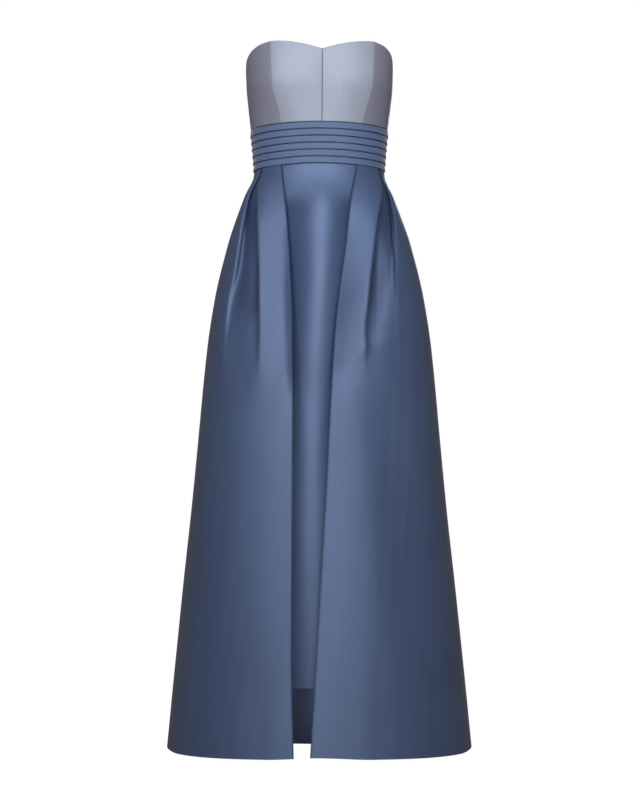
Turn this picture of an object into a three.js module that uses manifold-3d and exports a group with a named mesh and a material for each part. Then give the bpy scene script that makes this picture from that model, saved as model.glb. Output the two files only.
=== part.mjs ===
// A strapless evening gown, worn and hollow: a bodice with a heart-shaped neckline, a tucked waistband, a
// slim underskirt and an overskirt that opens down the front, closed by a concealed zip at the back.
// Millimetres, +Z up, the front towards -Y. The origin is the middle of the wearer's waist, just above the
// waistband's lower edge. Left and right are the wearer's: the wearer's left is +X.
import * as THREE from "three";
import { mergeVertices } from "three/addons/utils/BufferGeometryUtils.js";
import Module from "manifold-3d";

// Cloth
const CLOTH = 1.2; // thickness of every cloth wall
const SEAM_GAP = 0.3; // space between two pieces at a seam

// Heights
const BAND_TOP = 71.5;
const BAND_FOOT = -5; // the waistband's lower edge, a little below the waist
const BAND_DIP = 4.8; // how much lower the waistband is at the sides
const WAIST_REACH = 120; // distance down the skirts over which they even out the waistband's lower edge
const OVERSKIRT_LENGTH = 1096; // waist to hem
const UNDERSKIRT_LENGTH = 977;
const ZIP_END = -150; // the closed zip runs from just under the back neckline to here

// Tucks of the waistband
const TUCKS = 6;
const TUCK_RISE = 2.3; // how far a tuck's folded edge stands out from the form
const TUCK_ROOT = 0.5; // how far it stands out where it comes from under the tuck above
const BAND_INSIDE = -1.2; // the band's plain inside, from the form

// The bodice sits a little turned on the figure, so its front seam is left of the middle
const BODICE_TURN = THREE.MathUtils.degToRad(3);

// The form that the bodice and waistband follow, by height above the waist. square is the exponent of the
// ring's rounded-rectangle curve, and bust is how far the cloth is drawn out at the princess seam.
const BODY_FORM = [
  { z: 0, half: 122.6, front: 88, back: 86, square: 2.2, bust: 0 },
  { z: 36, half: 125.4, front: 92, back: 84, square: 2.25, bust: 1 },
  { z: 74, half: 129.6, front: 96, back: 84, square: 2.3, bust: 3 },
  { z: 110, half: 133.6, front: 101, back: 86, square: 2.35, bust: 8 },
  { z: 150, half: 136.4, front: 106, back: 90, square: 2.4, bust: 13 },
  { z: 182, half: 137.4, front: 107, back: 93, square: 2.4, bust: 12 },
  { z: 220, half: 136, front: 104, back: 95, square: 2.4, bust: 8 },
];

// The overskirt's form, by distance below the waist
const OVERSKIRT_FORM = [
  { drop: 0, half: 122.4, front: 88, back: 86, square: 2.2 },
  { drop: 14, half: 124, front: 91, back: 89, square: 2.24 },
  { drop: 60, half: 140.8, front: 102, back: 108, square: 2.48 },
  { drop: 98, half: 154, front: 112, back: 121, square: 2.68 },
  { drop: 136, half: 167.2, front: 122, back: 133, square: 2.78 },
  { drop: 174, half: 177.6, front: 132, back: 145, square: 2.8 },
  { drop: 211, half: 187, front: 141, back: 156, square: 2.8 },
  { drop: 249, half: 195.2, front: 150, back: 166, square: 2.8 },
  { drop: 324, half: 207.2, front: 166, back: 182, square: 2.75 },
  { drop: 400, half: 215.4, front: 180, back: 195, square: 2.7 },
  { drop: 513, half: 225.2, front: 198, back: 211, square: 2.65 },
  { drop: 663, half: 239.2, front: 219, back: 230, square: 2.6 },
  { drop: 815, half: 255.8, front: 240, back: 247, square: 2.5 },
  { drop: 1096, half: 283.6, front: 278, back: 276, square: 2.4 },
];

// The slim underskirt's form
const UNDERSKIRT_FORM = [
  { drop: 0, half: 120.6, front: 86.2, back: 84.2, square: 2.2 },
  { drop: 30, half: 125, front: 89, back: 90, square: 2.24 },
  { drop: 60, half: 130, front: 93, back: 98, square: 2.3 },
  { drop: 136, half: 147, front: 105, back: 113, square: 2.4 },
  { drop: 220, half: 160, front: 116, back: 122, square: 2.35 },
  { drop: 400, half: 164, front: 131, back: 124, square: 2.3 },
  { drop: 700, half: 164, front: 154, back: 128, square: 2.25 },
  { drop: 977, half: 166, front: 174, back: 134, square: 2.2 },
];

// Neckline height by angle from the front seam, in degrees
const NECKLINE = [
  { angle: 0, z: 205.5 },
  { angle: 12, z: 211.5 },
  { angle: 21, z: 215.5 },
  { angle: 34, z: 220 },
  { angle: 44, z: 221.5 },
  { angle: 56, z: 217.5 },
  { angle: 67, z: 208.5 },
  { angle: 76, z: 198 },
  { angle: 90, z: 184 },
  { angle: 125, z: 177 },
  { angle: 180, z: 169 },
];

// Princess seams: distance sideways from the front seam, by height
const PRINCESS_SEAM = [
  { z: 74, out: 78 },
  { z: 92, out: 82 },
  { z: 112, out: 88 },
  { z: 140, out: 95 },
  { z: 218, out: 98 },
];

// Hem of the overskirt: how much lower than its length, by angle from the front, in degrees
const HEM_DIP = [
  { angle: -10, dip: 0 },
  { angle: 0, dip: 0 },
  { angle: 20, dip: 3.2 },
  { angle: 35, dip: 3 },
  { angle: 60, dip: 0.3 },
  { angle: 75, dip: -5 },
  { angle: 90, dip: -9 },
  { angle: 135, dip: 0 },
  { angle: 180, dip: 7 },
];

// Front opening: each front edge's distance from the middle, on its own side, by distance below the waist
const OPENING_EDGE = {
  right: [
    { drop: 0, out: 69.5 },
    { drop: 86, out: 62.3 },
    { drop: 194, out: 53.9 },
    { drop: 302, out: 49 },
    { drop: 454, out: 47.9 },
    { drop: 921, out: 49 },
    { drop: 1096, out: 45.3 },
  ],
  left: [
    { drop: 0, out: 68.9 },
    { drop: 74, out: 58 },
    { drop: 157, out: 49.7 },
    { drop: 231, out: 38.9 },
    { drop: 302, out: 30.6 },
    { drop: 441, out: 21.1 },
    { drop: 602, out: 13 },
    { drop: 741, out: 4.9 },
    { drop: 921, out: -5.6 },
    { drop: 1096, out: -16.4 },
  ],
};

// Inverted pleats: where their two folded edges lie, as distances from the middle. near is the edge towards
// the opening or the back seam, far the edge towards the side seam.
const PLEAT_EDGES = {
  right: [
    { drop: 0, near: 107, far: 109.6 },
    { drop: 30, near: 111, far: 121 },
    { drop: 60, near: 113, far: 131.5 },
    { drop: 136, near: 112.8, far: 144.5 },
    { drop: 211, near: 111, far: 156 },
    { drop: 270, near: 110, far: 168 },
    { drop: 340, near: 109.5, far: 173 },
    { drop: 1096, near: 120, far: 215 },
  ],
  left: [
    { drop: 0, near: 112, far: 114.6 },
    { drop: 30, near: 114.5, far: 123.5 },
    { drop: 60, near: 114.2, far: 132.5 },
    { drop: 110, near: 108.5, far: 140.5 },
    { drop: 174, near: 101.5, far: 142.5 },
    { drop: 250, near: 92, far: 143.5 },
    { drop: 340, near: 85, far: 146 },
    { drop: 1096, near: 80, far: 190 },
  ],
  back: [
    { drop: 0, near: 60, far: 62.6 },
    { drop: 60, near: 60, far: 76 },
    { drop: 136, near: 58, far: 92 },
    { drop: 250, near: 56, far: 112 },
    { drop: 340, near: 56, far: 122 },
    { drop: 1096, near: 84, far: 178 },
  ],
};

// How the pleats open: depth of the fold, and closed = 1 where its underlay lies flat behind both edges
const PLEAT_OPENING = [
  { drop: 0, depth: 3.8, closed: 1 },
  { drop: 30, depth: 4.8, closed: 1 },
  { drop: 60, depth: 7, closed: 0.85 },
  { drop: 100, depth: 11, closed: 0.6 },
  { drop: 140, depth: 14, closed: 0.35 },
  { drop: 200, depth: 15, closed: 0.12 },
  { drop: 260, depth: 11, closed: 0 },
  { drop: 330, depth: 5, closed: 0 },
  { drop: 420, depth: 0, closed: 0 },
  { drop: 1096, depth: 0, closed: 0 },
];

// Path of the cloth into a pleat: distance past an edge, and share of the pleat's depth. closed is where it
// lies behind either edge near the waist. Lower down it has opened: near is past its near edge, where it drops
// steeply, and far past its far edge, where its underlay ends at a box fold or slopes up to the edge.
const PLEAT_PATH = [
  { closed: -12, closedDepth: 0, near: -14, nearDepth: 0, far: -14, boxDepth: 0, slopeDepth: 0 },
  { closed: -3, closedDepth: 0, near: -4, nearDepth: 0, far: -5, boxDepth: -0.06, slopeDepth: 0 },
  { closed: 0, closedDepth: 0.25, near: -0.5, nearDepth: 0.12, far: -1, boxDepth: 0.04, slopeDepth: 0.04 },
  { closed: -3, closedDepth: 0.5, near: 1.5, nearDepth: 0.45, far: 1, boxDepth: 0.3, slopeDepth: 0.1 },
  { closed: -20, closedDepth: 0.5, near: 3.5, nearDepth: 0.76, far: 3.5, boxDepth: 0.62, slopeDepth: 0.18 },
  { closed: -23, closedDepth: 0.75, near: 7, nearDepth: 0.95, far: 7, boxDepth: 0.8, slopeDepth: 0.27 },
  { closed: -20, closedDepth: 1, near: 11, nearDepth: 1, far: 11, boxDepth: 0.88, slopeDepth: 0.38 },
  { closed: -3, closedDepth: 1, near: 15, nearDepth: 0.98, far: 15, boxDepth: 0.92, slopeDepth: 0.5 },
];
const PLEAT_SLOPE = { right: 0.3, left: 1, back: 0.6 }; // share of the underlay that slopes up to its far edge
const PLEAT_WIDENING = 1.4; // how much wider these steps are at the hem
const PLEAT_ROOM = 5.8; // how far the underskirt stands back behind the closed pleats

// Large soft folds at the front. Each is a line of places, by distance from the middle (towards the wearer's
// left on the underskirt) and below the waist, with how far the cloth stands out there, or in below nought.
const FOLDS = {
  left: [
    {
      wide: 42,
      path: [
        { out: 28, drop: 70, high: 0 },
        { out: 22, drop: 150, high: -15 },
        { out: 12, drop: 280, high: -20 },
        { out: 6, drop: 370, high: -15 },
        { out: 4, drop: 460, high: 0 },
      ],
    },
    {
      wide: 26,
      path: [
        { out: 112, drop: 60, high: 0 },
        { out: 106, drop: 150, high: 4 },
        { out: 95, drop: 250, high: 8 },
        { out: 90, drop: 330, high: 5 },
        { out: 88, drop: 420, high: 0 },
      ],
    },
    {
      wide: 46,
      path: [
        { out: 110, drop: 320, high: 0 },
        { out: 138, drop: 520, high: -8 },
        { out: 164, drop: 760, high: -9 },
        { out: 180, drop: 960, high: -4 },
        { out: 190, drop: 1090, high: 0 },
      ],
    },
  ],
  right: [
    {
      wide: 15,
      path: [
        { out: 50, drop: 70, high: 0 },
        { out: 48, drop: 150, high: -8 },
        { out: 44, drop: 280, high: -12 },
        { out: 42, drop: 380, high: -10 },
        { out: 40, drop: 500, high: 0 },
      ],
    },
    {
      wide: 27,
      path: [
        { out: 114, drop: 40, high: 0 },
        { out: 115, drop: 120, high: 10 },
        { out: 114, drop: 250, high: 10 },
        { out: 112, drop: 350, high: 6 },
        { out: 110, drop: 460, high: 0 },
      ],
    },
    {
      wide: 44,
      path: [
        { out: 140, drop: 330, high: 0 },
        { out: 160, drop: 560, high: -4 },
        { out: 178, drop: 760, high: -4 },
        { out: 200, drop: 1000, high: 0 },
      ],
    },
  ],
  back: [],
  underskirt: [
    {
      wide: 42,
      path: [
        { out: 8, drop: 10, high: 0 },
        { out: 5, drop: 100, high: 17 },
        { out: 1, drop: 230, high: 23 },
        { out: -7, drop: 360, high: 20 },
        { out: -12, drop: 470, high: 14 },
        { out: -15, drop: 680, high: 6 },
        { out: -20, drop: 940, high: 0 },
      ],
    },
  ],
};

// Soft flutes at the back hem
const FLUTE_HEIGHT = 9;
const FLUTES_PER_TURN = 10;
const FLUTE_START_DROP = 380;

// Rows of the overskirt's wall, as distances below the waist
const OVERSKIRT_ROWS = [0, 14, 30, 60, 98, 136, 174, 211, 249, 290, 330, 400, 513, 663, 860, 1096];
const UNDERSKIRT_ROWS = [0, 14, 30, 60, 98, 136, 178, 220, 300, 400, 540, 700, 977];

const LOOKS = {
  bodice: { color: 0x9aa3ba, roughness: 0.5, metalness: 0 },
  band: { color: 0x5f76a0, roughness: 0.5, metalness: 0 },
  skirt: { color: 0x4d6088, roughness: 0.45, metalness: 0 },
  zipTape: { color: 0x56668a, roughness: 0.8, metalness: 0 },
  zipMetal: { color: 0x6c7a99, roughness: 0.35, metalness: 0.3 },
};

// Value of a table's column at a place on its key column, on a smooth curve that never overshoots a row
function follow(table, key, column, at) {
  let i = 0;
  while (i < table.length - 2 && at > table[i + 1][key]) i++;
  const span = (j) => table[j + 1][key] - table[j][key];
  const slope = (j) => (table[j + 1][column] - table[j][column]) / span(j);
  const tangent = (j) => {
    if (j === 0) return slope(0);
    if (j === table.length - 1) return slope(j - 1);
    const [before, after] = [slope(j - 1), slope(j)];
    return before * after <= 0 ? 0 : (2 * before * after) / (before + after);
  };
  const t = THREE.MathUtils.clamp((at - table[i][key]) / span(i), 0, 1);
  const [from, to] = [table[i][column], table[i + 1][column]];
  const bend = (2 * t ** 3 - 3 * t ** 2 + 1) * from + (3 * t ** 2 - 2 * t ** 3) * to;
  const lean = (t ** 3 - 2 * t ** 2 + t) * tangent(i) + (t ** 3 - t ** 2) * tangent(i + 1);
  return bend + lean * span(i);
}

const mix = THREE.MathUtils.lerp;
const HALF_TURN = Math.PI;
const QUARTER_TURN = Math.PI / 2;

// Sizes of a form's ring at one height
function ringOf(form, key, at) {
  const size = (column) => follow(form, key, column, at);
  return { half: size("half"), front: size("front"), back: size("back"), square: size("square") };
}

// Distance from the middle to a ring, at an angle from the front that grows towards the wearer's left
function ringRadius(ring, angle) {
  const depth = Math.cos(angle) > 0 ? ring.front : ring.back;
  const side = Math.abs(Math.sin(angle)) / ring.half;
  const along = Math.abs(Math.cos(angle)) / depth;
  return (side ** ring.square + along ** ring.square) ** (-1 / ring.square);
}

function polar(radius, angle, z) {
  return new THREE.Vector3(radius * Math.sin(angle), -radius * Math.cos(angle), z);
}

// A closed wall on a grid of points along its middle, rows of columns, half its thickness to each side
function wallOn(grid, thickness = CLOTH) {
  const rows = grid.length;
  const columns = grid[0].length;
  const clamp = THREE.MathUtils.clamp;
  const at = (i, j) => grid[clamp(i, 0, rows - 1)][clamp(j, 0, columns - 1)];
  const positions = [];
  for (const side of [0.5, -0.5]) {
    for (let i = 0; i < rows; i++) {
      for (let j = 0; j < columns; j++) {
        const across = at(i, j + 1).clone().sub(at(i, j - 1));
        const down = at(i + 1, j).clone().sub(at(i - 1, j));
        const normal = across.cross(down).normalize();
        positions.push(...grid[i][j].clone().addScaledVector(normal, side * thickness));
      }
    }
  }
  const point = (face, i, j) => (face * rows + i) * columns + j;
  const index = [];
  const quad = (a, b, c, d) => index.push(a, b, c, a, c, d);
  for (let i = 0; i < rows - 1; i++) {
    for (let j = 0; j < columns - 1; j++) {
      quad(point(0, i, j), point(0, i, j + 1), point(0, i + 1, j + 1), point(0, i + 1, j));
      quad(point(1, i, j), point(1, i + 1, j), point(1, i + 1, j + 1), point(1, i, j + 1));
    }
  }
  for (let j = 0; j < columns - 1; j++) {
    quad(point(0, 0, j), point(1, 0, j), point(1, 0, j + 1), point(0, 0, j + 1));
    const i = rows - 1;
    quad(point(0, i, j), point(0, i, j + 1), point(1, i, j + 1), point(1, i, j));
  }
  for (let i = 0; i < rows - 1; i++) {
    quad(point(0, i, 0), point(0, i + 1, 0), point(1, i + 1, 0), point(1, i, 0));
    const j = columns - 1;
    quad(point(0, i, j), point(1, i, j), point(1, i + 1, j), point(0, i + 1, j));
  }
  return facingOut(positions, index);
}

// A closed ring of section points swept past a row of stations: sections[station][point]
function sweptThrough(sections) {
  const count = sections[0].length;
  const positions = sections.flat().flatMap((p) => [...p]);
  const index = [];
  for (let s = 0; s < sections.length - 1; s++) {
    for (let k = 0; k < count; k++) {
      const next = (k + 1) % count;
      const [a, b] = [s * count + k, s * count + next];
      const [c, d] = [(s + 1) * count + next, (s + 1) * count + k];
      index.push(a, b, c, a, c, d);
    }
  }
  const flat = sections[0].map((p) => new THREE.Vector2(p.userZ, p.userOut));
  const caps = THREE.ShapeUtils.triangulateShape(flat, []);
  const last = (sections.length - 1) * count;
  for (const [a, b, c] of caps) index.push(a, c, b, last + a, last + b, last + c);
  return facingOut(positions, index);
}

// An indexed geometry whose faces point outwards
function facingOut(positions, index) {
  let volume = 0;
  const at = (i) => new THREE.Vector3().fromArray(positions, i * 3);
  for (let i = 0; i < index.length; i += 3) {
    volume += at(index[i]).dot(at(index[i + 1]).cross(at(index[i + 2])));
  }
  if (volume < 0) {
    for (let i = 0; i < index.length; i += 3) [index[i + 1], index[i + 2]] = [index[i + 2], index[i + 1]];
  }
  const geometry = new THREE.BufferGeometry();
  geometry.setAttribute("position", new THREE.Float32BufferAttribute(positions, 3));
  geometry.setIndex(index);
  geometry.computeVertexNormals();
  return geometry;
}

// How much lower the waistband lies at an angle from the front
function bandDip(angle) {
  return BAND_DIP * Math.sin(angle) ** 2;
}

// Height of a skirt's cloth, whose upper edge follows the waistband's lower edge
function skirtHeight(drop, angle) {
  const evened = THREE.MathUtils.smoothstep(drop, 0, WAIST_REACH);
  return -SEAM_GAP - drop + (BAND_FOOT - bandDip(angle)) * (1 - evened);
}

// Distance down a skirt at a height, at the back seam
function skirtDrop(z) {
  let drop = Math.max(0, -z);
  for (let pass = 0; pass < 4; pass++) {
    const evened = THREE.MathUtils.smoothstep(drop, 0, WAIST_REACH);
    drop = Math.max(0, -SEAM_GAP - z + BAND_FOOT * (1 - evened));
  }
  return drop;
}

const gown = new THREE.Group();

function add(name, geometry, look) {
  const mesh = new THREE.Mesh(geometry, new THREE.MeshStandardMaterial(LOOKS[look]));
  mesh.name = name;
  gown.add(mesh);
  return mesh;
}

// How far the bodice has turned at an angle: fully at the front, not at all at the back seam
function turned(angle) {
  return angle + (BODICE_TURN * (1 + Math.cos(angle))) / 2;
}

// Point on the middle of the bodice's cloth, at an angle from its front seam
function bodicePoint(angle, z) {
  const place = turned(angle);
  const ring = ringOf(BODY_FORM, "z", z);
  const drawn = follow(BODY_FORM, "z", "bust", z);
  const seam = princessAngle(z);
  const away = Math.abs(Math.abs(angle) - seam);
  const rounding = 0.03;
  const reach = Math.abs(angle) < seam ? seam : 0.75;
  const tent = Math.max(0, 1 - (Math.hypot(away, rounding) - rounding) / reach);
  return polar(ringRadius(ring, place) + drawn * tent, place, z);
}

function princessAngle(z) {
  const out = follow(PRINCESS_SEAM, "z", "out", z);
  const ring = ringOf(BODY_FORM, "z", z);
  const drawn = follow(BODY_FORM, "z", "bust", z);
  let angle = 0.7;
  for (let pass = 0; pass < 12; pass++) {
    angle = Math.asin(Math.min(0.98, out / (ringRadius(ring, angle) + drawn)));
  }
  return angle;
}

function necklineHeight(angle) {
  return follow(NECKLINE, "angle", "z", THREE.MathUtils.radToDeg(Math.abs(angle)));
}

// A bodice panel between two seams. Each seam is a function that gives its angle at a height.
function bodicePanel(name, fromSeam, toSeam, columns) {
  const rows = 9;
  const foot = (angle) => BAND_TOP + SEAM_GAP - bandDip(turned(angle));
  const grid = [];
  for (let i = 0; i <= rows; i++) {
    const share = 1 - i / rows;
    const seamAngle = (seam) => {
      let angle = seam(mix(BAND_TOP, NECKLINE[0].z, share));
      for (let pass = 0; pass < 3; pass++) angle = seam(mix(foot(angle), necklineHeight(angle), share));
      return angle;
    };
    const [from, to] = [seamAngle(fromSeam), seamAngle(toSeam)];
    const gap = SEAM_GAP / 2 / 120;
    const line = [];
    for (let j = 0; j <= columns; j++) {
      const angle = mix(from + gap, to - gap, j / columns);
      line.push(bodicePoint(angle, mix(foot(angle), necklineHeight(angle), share)));
    }
    grid.push(line);
  }
  add(name, wallOn(grid), "bodice");
}

const frontSeam = () => 0;
const leftSide = () => QUARTER_TURN;
const backSeam = () => HALF_TURN;
const mirrored = (seam) => (z) => -seam(z);
bodicePanel("bodice_front_left", frontSeam, princessAngle, 8);
bodicePanel("bodice_front_right", mirrored(princessAngle), frontSeam, 8);
bodicePanel("bodice_side_front_left", princessAngle, leftSide, 8);
bodicePanel("bodice_side_front_right", mirrored(leftSide), mirrored(princessAngle), 8);
bodicePanel("bodice_back_left", leftSide, backSeam, 12);
bodicePanel("bodice_back_right", mirrored(backSeam), mirrored(leftSide), 12);

// Section of the waistband as points of height and distance out from the form, down the tucks and up inside
function bandSection() {
  const tuck = (BAND_TOP - BAND_FOOT) / TUCKS;
  const section = [{ z: BAND_TOP, out: TUCK_ROOT }];
  for (let k = 0; k < TUCKS; k++) {
    const top = BAND_TOP - k * tuck;
    const fold = top - tuck;
    section.push({ z: mix(top, fold, 0.45), out: mix(TUCK_ROOT, TUCK_RISE, 0.65) });
    section.push({ z: fold + 0.9, out: TUCK_RISE });
    section.push({ z: fold, out: TUCK_RISE - 0.4 });
    if (k < TUCKS - 1) section.push({ z: fold + 0.5, out: TUCK_ROOT });
  }
  for (const share of [0, 0.5, 1]) section.push({ z: mix(BAND_FOOT, BAND_TOP, share), out: BAND_INSIDE });
  return section;
}

// A stretch of the waistband between two angles
function bandPiece(name, fromAngle, toAngle, columns) {
  const section = bandSection();
  const sections = [];
  for (let j = 0; j <= columns; j++) {
    const gap = SEAM_GAP / 2 / 110;
    const angle = mix(fromAngle + gap, toAngle - gap, j / columns);
    sections.push(
      section.map(({ z, out }) => {
        const radius = ringRadius(ringOf(BODY_FORM, "z", z), angle) + out;
        return Object.assign(polar(radius, angle, z - bandDip(angle)), { userZ: z, userOut: out });
      }),
    );
  }
  add(name, sweptThrough(sections), "band");
}

bandPiece("waistband_front", -QUARTER_TURN, QUARTER_TURN, 24);
bandPiece("waistband_back_left", QUARTER_TURN, HALF_TURN, 12);
bandPiece("waistband_back_right", -HALF_TURN, -QUARTER_TURN, 12);

// One side of the overskirt's ring at a distance below the waist, as points by distance along it
function overskirtRing(drop) {
  const ring = ringOf(OVERSKIRT_FORM, "drop", drop);
  const steps = 420;
  const start = -0.35;
  const samples = [];
  let length = 0;
  for (let k = 0; k <= steps; k++) {
    const angle = mix(start, HALF_TURN, k / steps);
    const fluted = THREE.MathUtils.smoothstep(angle, QUARTER_TURN, 2.1);
    const grown = THREE.MathUtils.smoothstep(drop, FLUTE_START_DROP, OVERSKIRT_LENGTH);
    const flute = FLUTE_HEIGHT * fluted * grown * Math.cos(FLUTES_PER_TURN * angle);
    const point = polar(ringRadius(ring, angle) + flute, angle, 0);
    if (k) length += point.distanceTo(samples[k - 1].point);
    samples.push({ angle, point, length });
  }
  return samples;
}

// Point and inward direction at a distance along a ring
function onRing(samples, length) {
  let k = 1;
  while (k < samples.length - 1 && samples[k].length < length) k++;
  const [a, b] = [samples[k - 1], samples[k]];
  const t = (length - a.length) / (b.length - a.length);
  const along = b.point.clone().sub(a.point).normalize();
  return {
    point: a.point.clone().lerp(b.point, t),
    inward: new THREE.Vector3(-along.y, along.x, 0),
    angle: mix(a.angle, b.angle, t),
  };
}

// Distance along a ring where it passes a distance sideways from the middle, on its front or back half
function lengthAtSide(samples, out, onBack = false) {
  const list = samples.filter(({ angle }) => (onBack ? angle > QUARTER_TURN : angle <= QUARTER_TURN));
  for (let k = 1; k < list.length; k++) {
    const [a, b] = [list[k - 1], list[k]];
    if ((a.point.x - out) * (b.point.x - out) <= 0 && a.point.x !== b.point.x) {
      return mix(a.length, b.length, (out - a.point.x) / (b.point.x - a.point.x));
    }
  }
  throw new Error("no place on the ring at " + out);
}

// Stations of an inverted pleat from its near to its far edge, put in order along the ring
function pleatStations(near, far, slope, drop) {
  const depth = follow(PLEAT_OPENING, "drop", "depth", drop);
  const closed = follow(PLEAT_OPENING, "drop", "closed", drop);
  const widening = 1 + (PLEAT_WIDENING * drop) / OVERSKIRT_LENGTH;
  const way = Math.sign(far - near);
  const into = PLEAT_PATH.map((step) => ({
    length: near + way * mix(step.near * widening, step.closed, closed),
    inset: depth * mix(step.nearDepth, step.closedDepth, closed),
  }));
  const outOf = PLEAT_PATH.map((step) => ({
    length: far - way * mix(step.far * widening, step.closed, closed),
    inset: depth * mix(mix(step.boxDepth, step.slopeDepth, slope), step.closedDepth, closed),
  })).reverse();
  const middle = { length: (near + far) / 2, inset: (into.at(-1).inset + outOf[0].inset) / 2 };
  const stations = [...into, middle, ...outOf];
  return way > 0 ? stations : stations.reverse();
}

// How far the cloth stands out along its large folds
function folded(folds, out, drop) {
  let height = 0;
  for (const { wide, path } of folds) {
    let nearest = Infinity;
    let high = 0;
    for (let k = 1; k < path.length; k++) {
      const [a, b] = [path[k - 1], path[k]];
      const [runOut, runDown] = [b.out - a.out, b.drop - a.drop];
      const share = ((out - a.out) * runOut + (drop - a.drop) * runDown) / (runOut ** 2 + runDown ** 2);
      const t = THREE.MathUtils.clamp(share, 0, 1);
      const away = Math.hypot(out - a.out - t * runOut, drop - a.drop - t * runDown);
      if (away < nearest) high = mix(a.high, b.high, THREE.MathUtils.smoothstep(t, 0, 1));
      nearest = Math.min(nearest, away);
    }
    height += high * Math.exp(-((nearest / wide) ** 2));
  }
  return height;
}

function spread(from, to, count) {
  return Array.from({ length: count }, (_, k) => ({ length: mix(from, to, k / count), inset: 0 }));
}

// A quarter of the overskirt, front or back, on one side of the gown
function overskirtPanel(name, side, onBack) {
  const mirror = side === "left" ? 1 : -1;
  const place = onBack ? "back" : side;
  const grid = OVERSKIRT_ROWS.map((drop) => {
    const samples = overskirtRing(drop);
    const seam = lengthAtSide(samples, samples.reduce((most, s) => Math.max(most, s.point.x), 0) - 1e-6);
    const edges = PLEAT_EDGES[place];
    const near = lengthAtSide(samples, follow(edges, "drop", "near", drop), onBack);
    const far = lengthAtSide(samples, follow(edges, "drop", "far", drop), onBack);
    const end = samples.at(-1).length;
    const [start, stop] = onBack
      ? [seam + SEAM_GAP / 2, end - SEAM_GAP / 2]
      : [lengthAtSide(samples, follow(OPENING_EDGE[side], "drop", "out", drop)), seam - SEAM_GAP / 2];
    const pleat = pleatStations(near, far, PLEAT_SLOPE[place], drop);
    const [before, after] = onBack ? [6, 6] : [9, 5];
    const stations = [
      ...spread(start, pleat[0].length, before),
      ...pleat,
      ...spread(stop, pleat.at(-1).length, after).reverse(),
    ];
    return stations.map(({ length, inset }) => {
      const { point, inward, angle } = onRing(samples, length);
      const degrees = THREE.MathUtils.radToDeg(angle);
      const dip = (follow(HEM_DIP, "angle", "dip", degrees) * drop) / OVERSKIRT_LENGTH;
      const fold = folded(FOLDS[place], point.x, drop) * THREE.MathUtils.clamp(1 - inset / 6, 0, 1);
      const placed = point.addScaledVector(inward, inset - fold);
      return new THREE.Vector3(placed.x * mirror, placed.y, skirtHeight(drop, angle) - dip);
    });
  });
  add(name, wallOn(grid), "skirt");
}

overskirtPanel("overskirt_front_left", "left", false);
overskirtPanel("overskirt_front_right", "right", false);
overskirtPanel("overskirt_back_left", "left", true);
overskirtPanel("overskirt_back_right", "right", true);

// Distance along the waist from an angle to the nearest pleat
const WAIST_RING = ringOf(OVERSKIRT_FORM, "drop", 0);
function awayFromPleat(angle) {
  const onBack = Math.cos(angle) < 0;
  const { near } = PLEAT_EDGES[onBack ? "back" : angle > 0 ? "left" : "right"][0];
  let [low, high] = [0, QUARTER_TURN];
  for (let pass = 0; pass < 20; pass++) {
    const middle = (low + high) / 2;
    const out = ringRadius(WAIST_RING, onBack ? HALF_TURN - middle : middle) * Math.sin(middle);
    if (out < near) low = middle;
    else high = middle;
  }
  const place = onBack ? HALF_TURN - low : low;
  return Math.abs(Math.abs(angle) - place) * ringRadius(WAIST_RING, place);
}

// Middle of the underskirt's cloth. Near the waist it passes inside the closed pleats.
function underskirtPoint(angle, drop) {
  const ring = ringOf(UNDERSKIRT_FORM, "drop", drop);
  const along = 1 - THREE.MathUtils.smoothstep(awayFromPleat(angle), 26, 46);
  const room = PLEAT_ROOM * along * (1 - THREE.MathUtils.smoothstep(drop, 10, 60));
  const radius = ringRadius(ring, angle) - room;
  const fold = Math.cos(angle) > 0 ? folded(FOLDS.underskirt, radius * Math.sin(angle), drop) : 0;
  return polar(radius + fold, angle, skirtHeight(drop, angle));
}

function underskirtPanel(name, fromAngle, toAngle, columns) {
  const gap = SEAM_GAP / 2 / 120;
  const grid = UNDERSKIRT_ROWS.map((drop) =>
    Array.from({ length: columns + 1 }, (_, j) =>
      underskirtPoint(mix(fromAngle + gap, toAngle - gap, j / columns), drop),
    ),
  );
  add(name, wallOn(grid), "skirt");
}

underskirtPanel("underskirt_front", -QUARTER_TURN, QUARTER_TURN, 34);
underskirtPanel("underskirt_back_left", QUARTER_TURN, HALF_TURN, 14);
underskirtPanel("underskirt_back_right", -HALF_TURN, -QUARTER_TURN, 14);

// Concealed zip: its closed tapes behind the back seam, a slider at the top and a pull that hangs from it
const TAPE_WIDTH = 22;
const TAPE_THICK = 1;
const TAPE_GAP = 0.7; // space between the tapes and the cloth outside them
const TAPE_TOP = necklineHeight(HALF_TURN) - 6;
const TAPE_HEIGHTS = [TAPE_TOP, 140, 110, 80, 50, 20, 0, -6, -19, -34, -62, -100, ZIP_END];

function zipTape() {
  const behind = CLOTH / 2 + TAPE_GAP + TAPE_THICK / 2;
  const grid = TAPE_HEIGHTS.map((z) => {
    const above = THREE.MathUtils.smoothstep(z, 0, 30);
    const line = [];
    for (let j = 0; j <= 4; j++) {
      const x = mix(-TAPE_WIDTH / 2, TAPE_WIDTH / 2, j / 4);
      const body = ringOf(BODY_FORM, "z", z);
      const under = ringOf(UNDERSKIRT_FORM, "drop", skirtDrop(z));
      const angle = HALF_TURN - Math.asin(x / mix(under.back, body.back, above));
      const inside = ringRadius(body, angle) + BAND_INSIDE + CLOTH / 2;
      const outside = mix(ringRadius(under, angle), inside, above);
      line.push(polar(outside - behind, angle, z));
    }
    return line;
  });
  add("zip_tape", wallOn(grid, TAPE_THICK), "zipTape");
}
zipTape();

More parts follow.
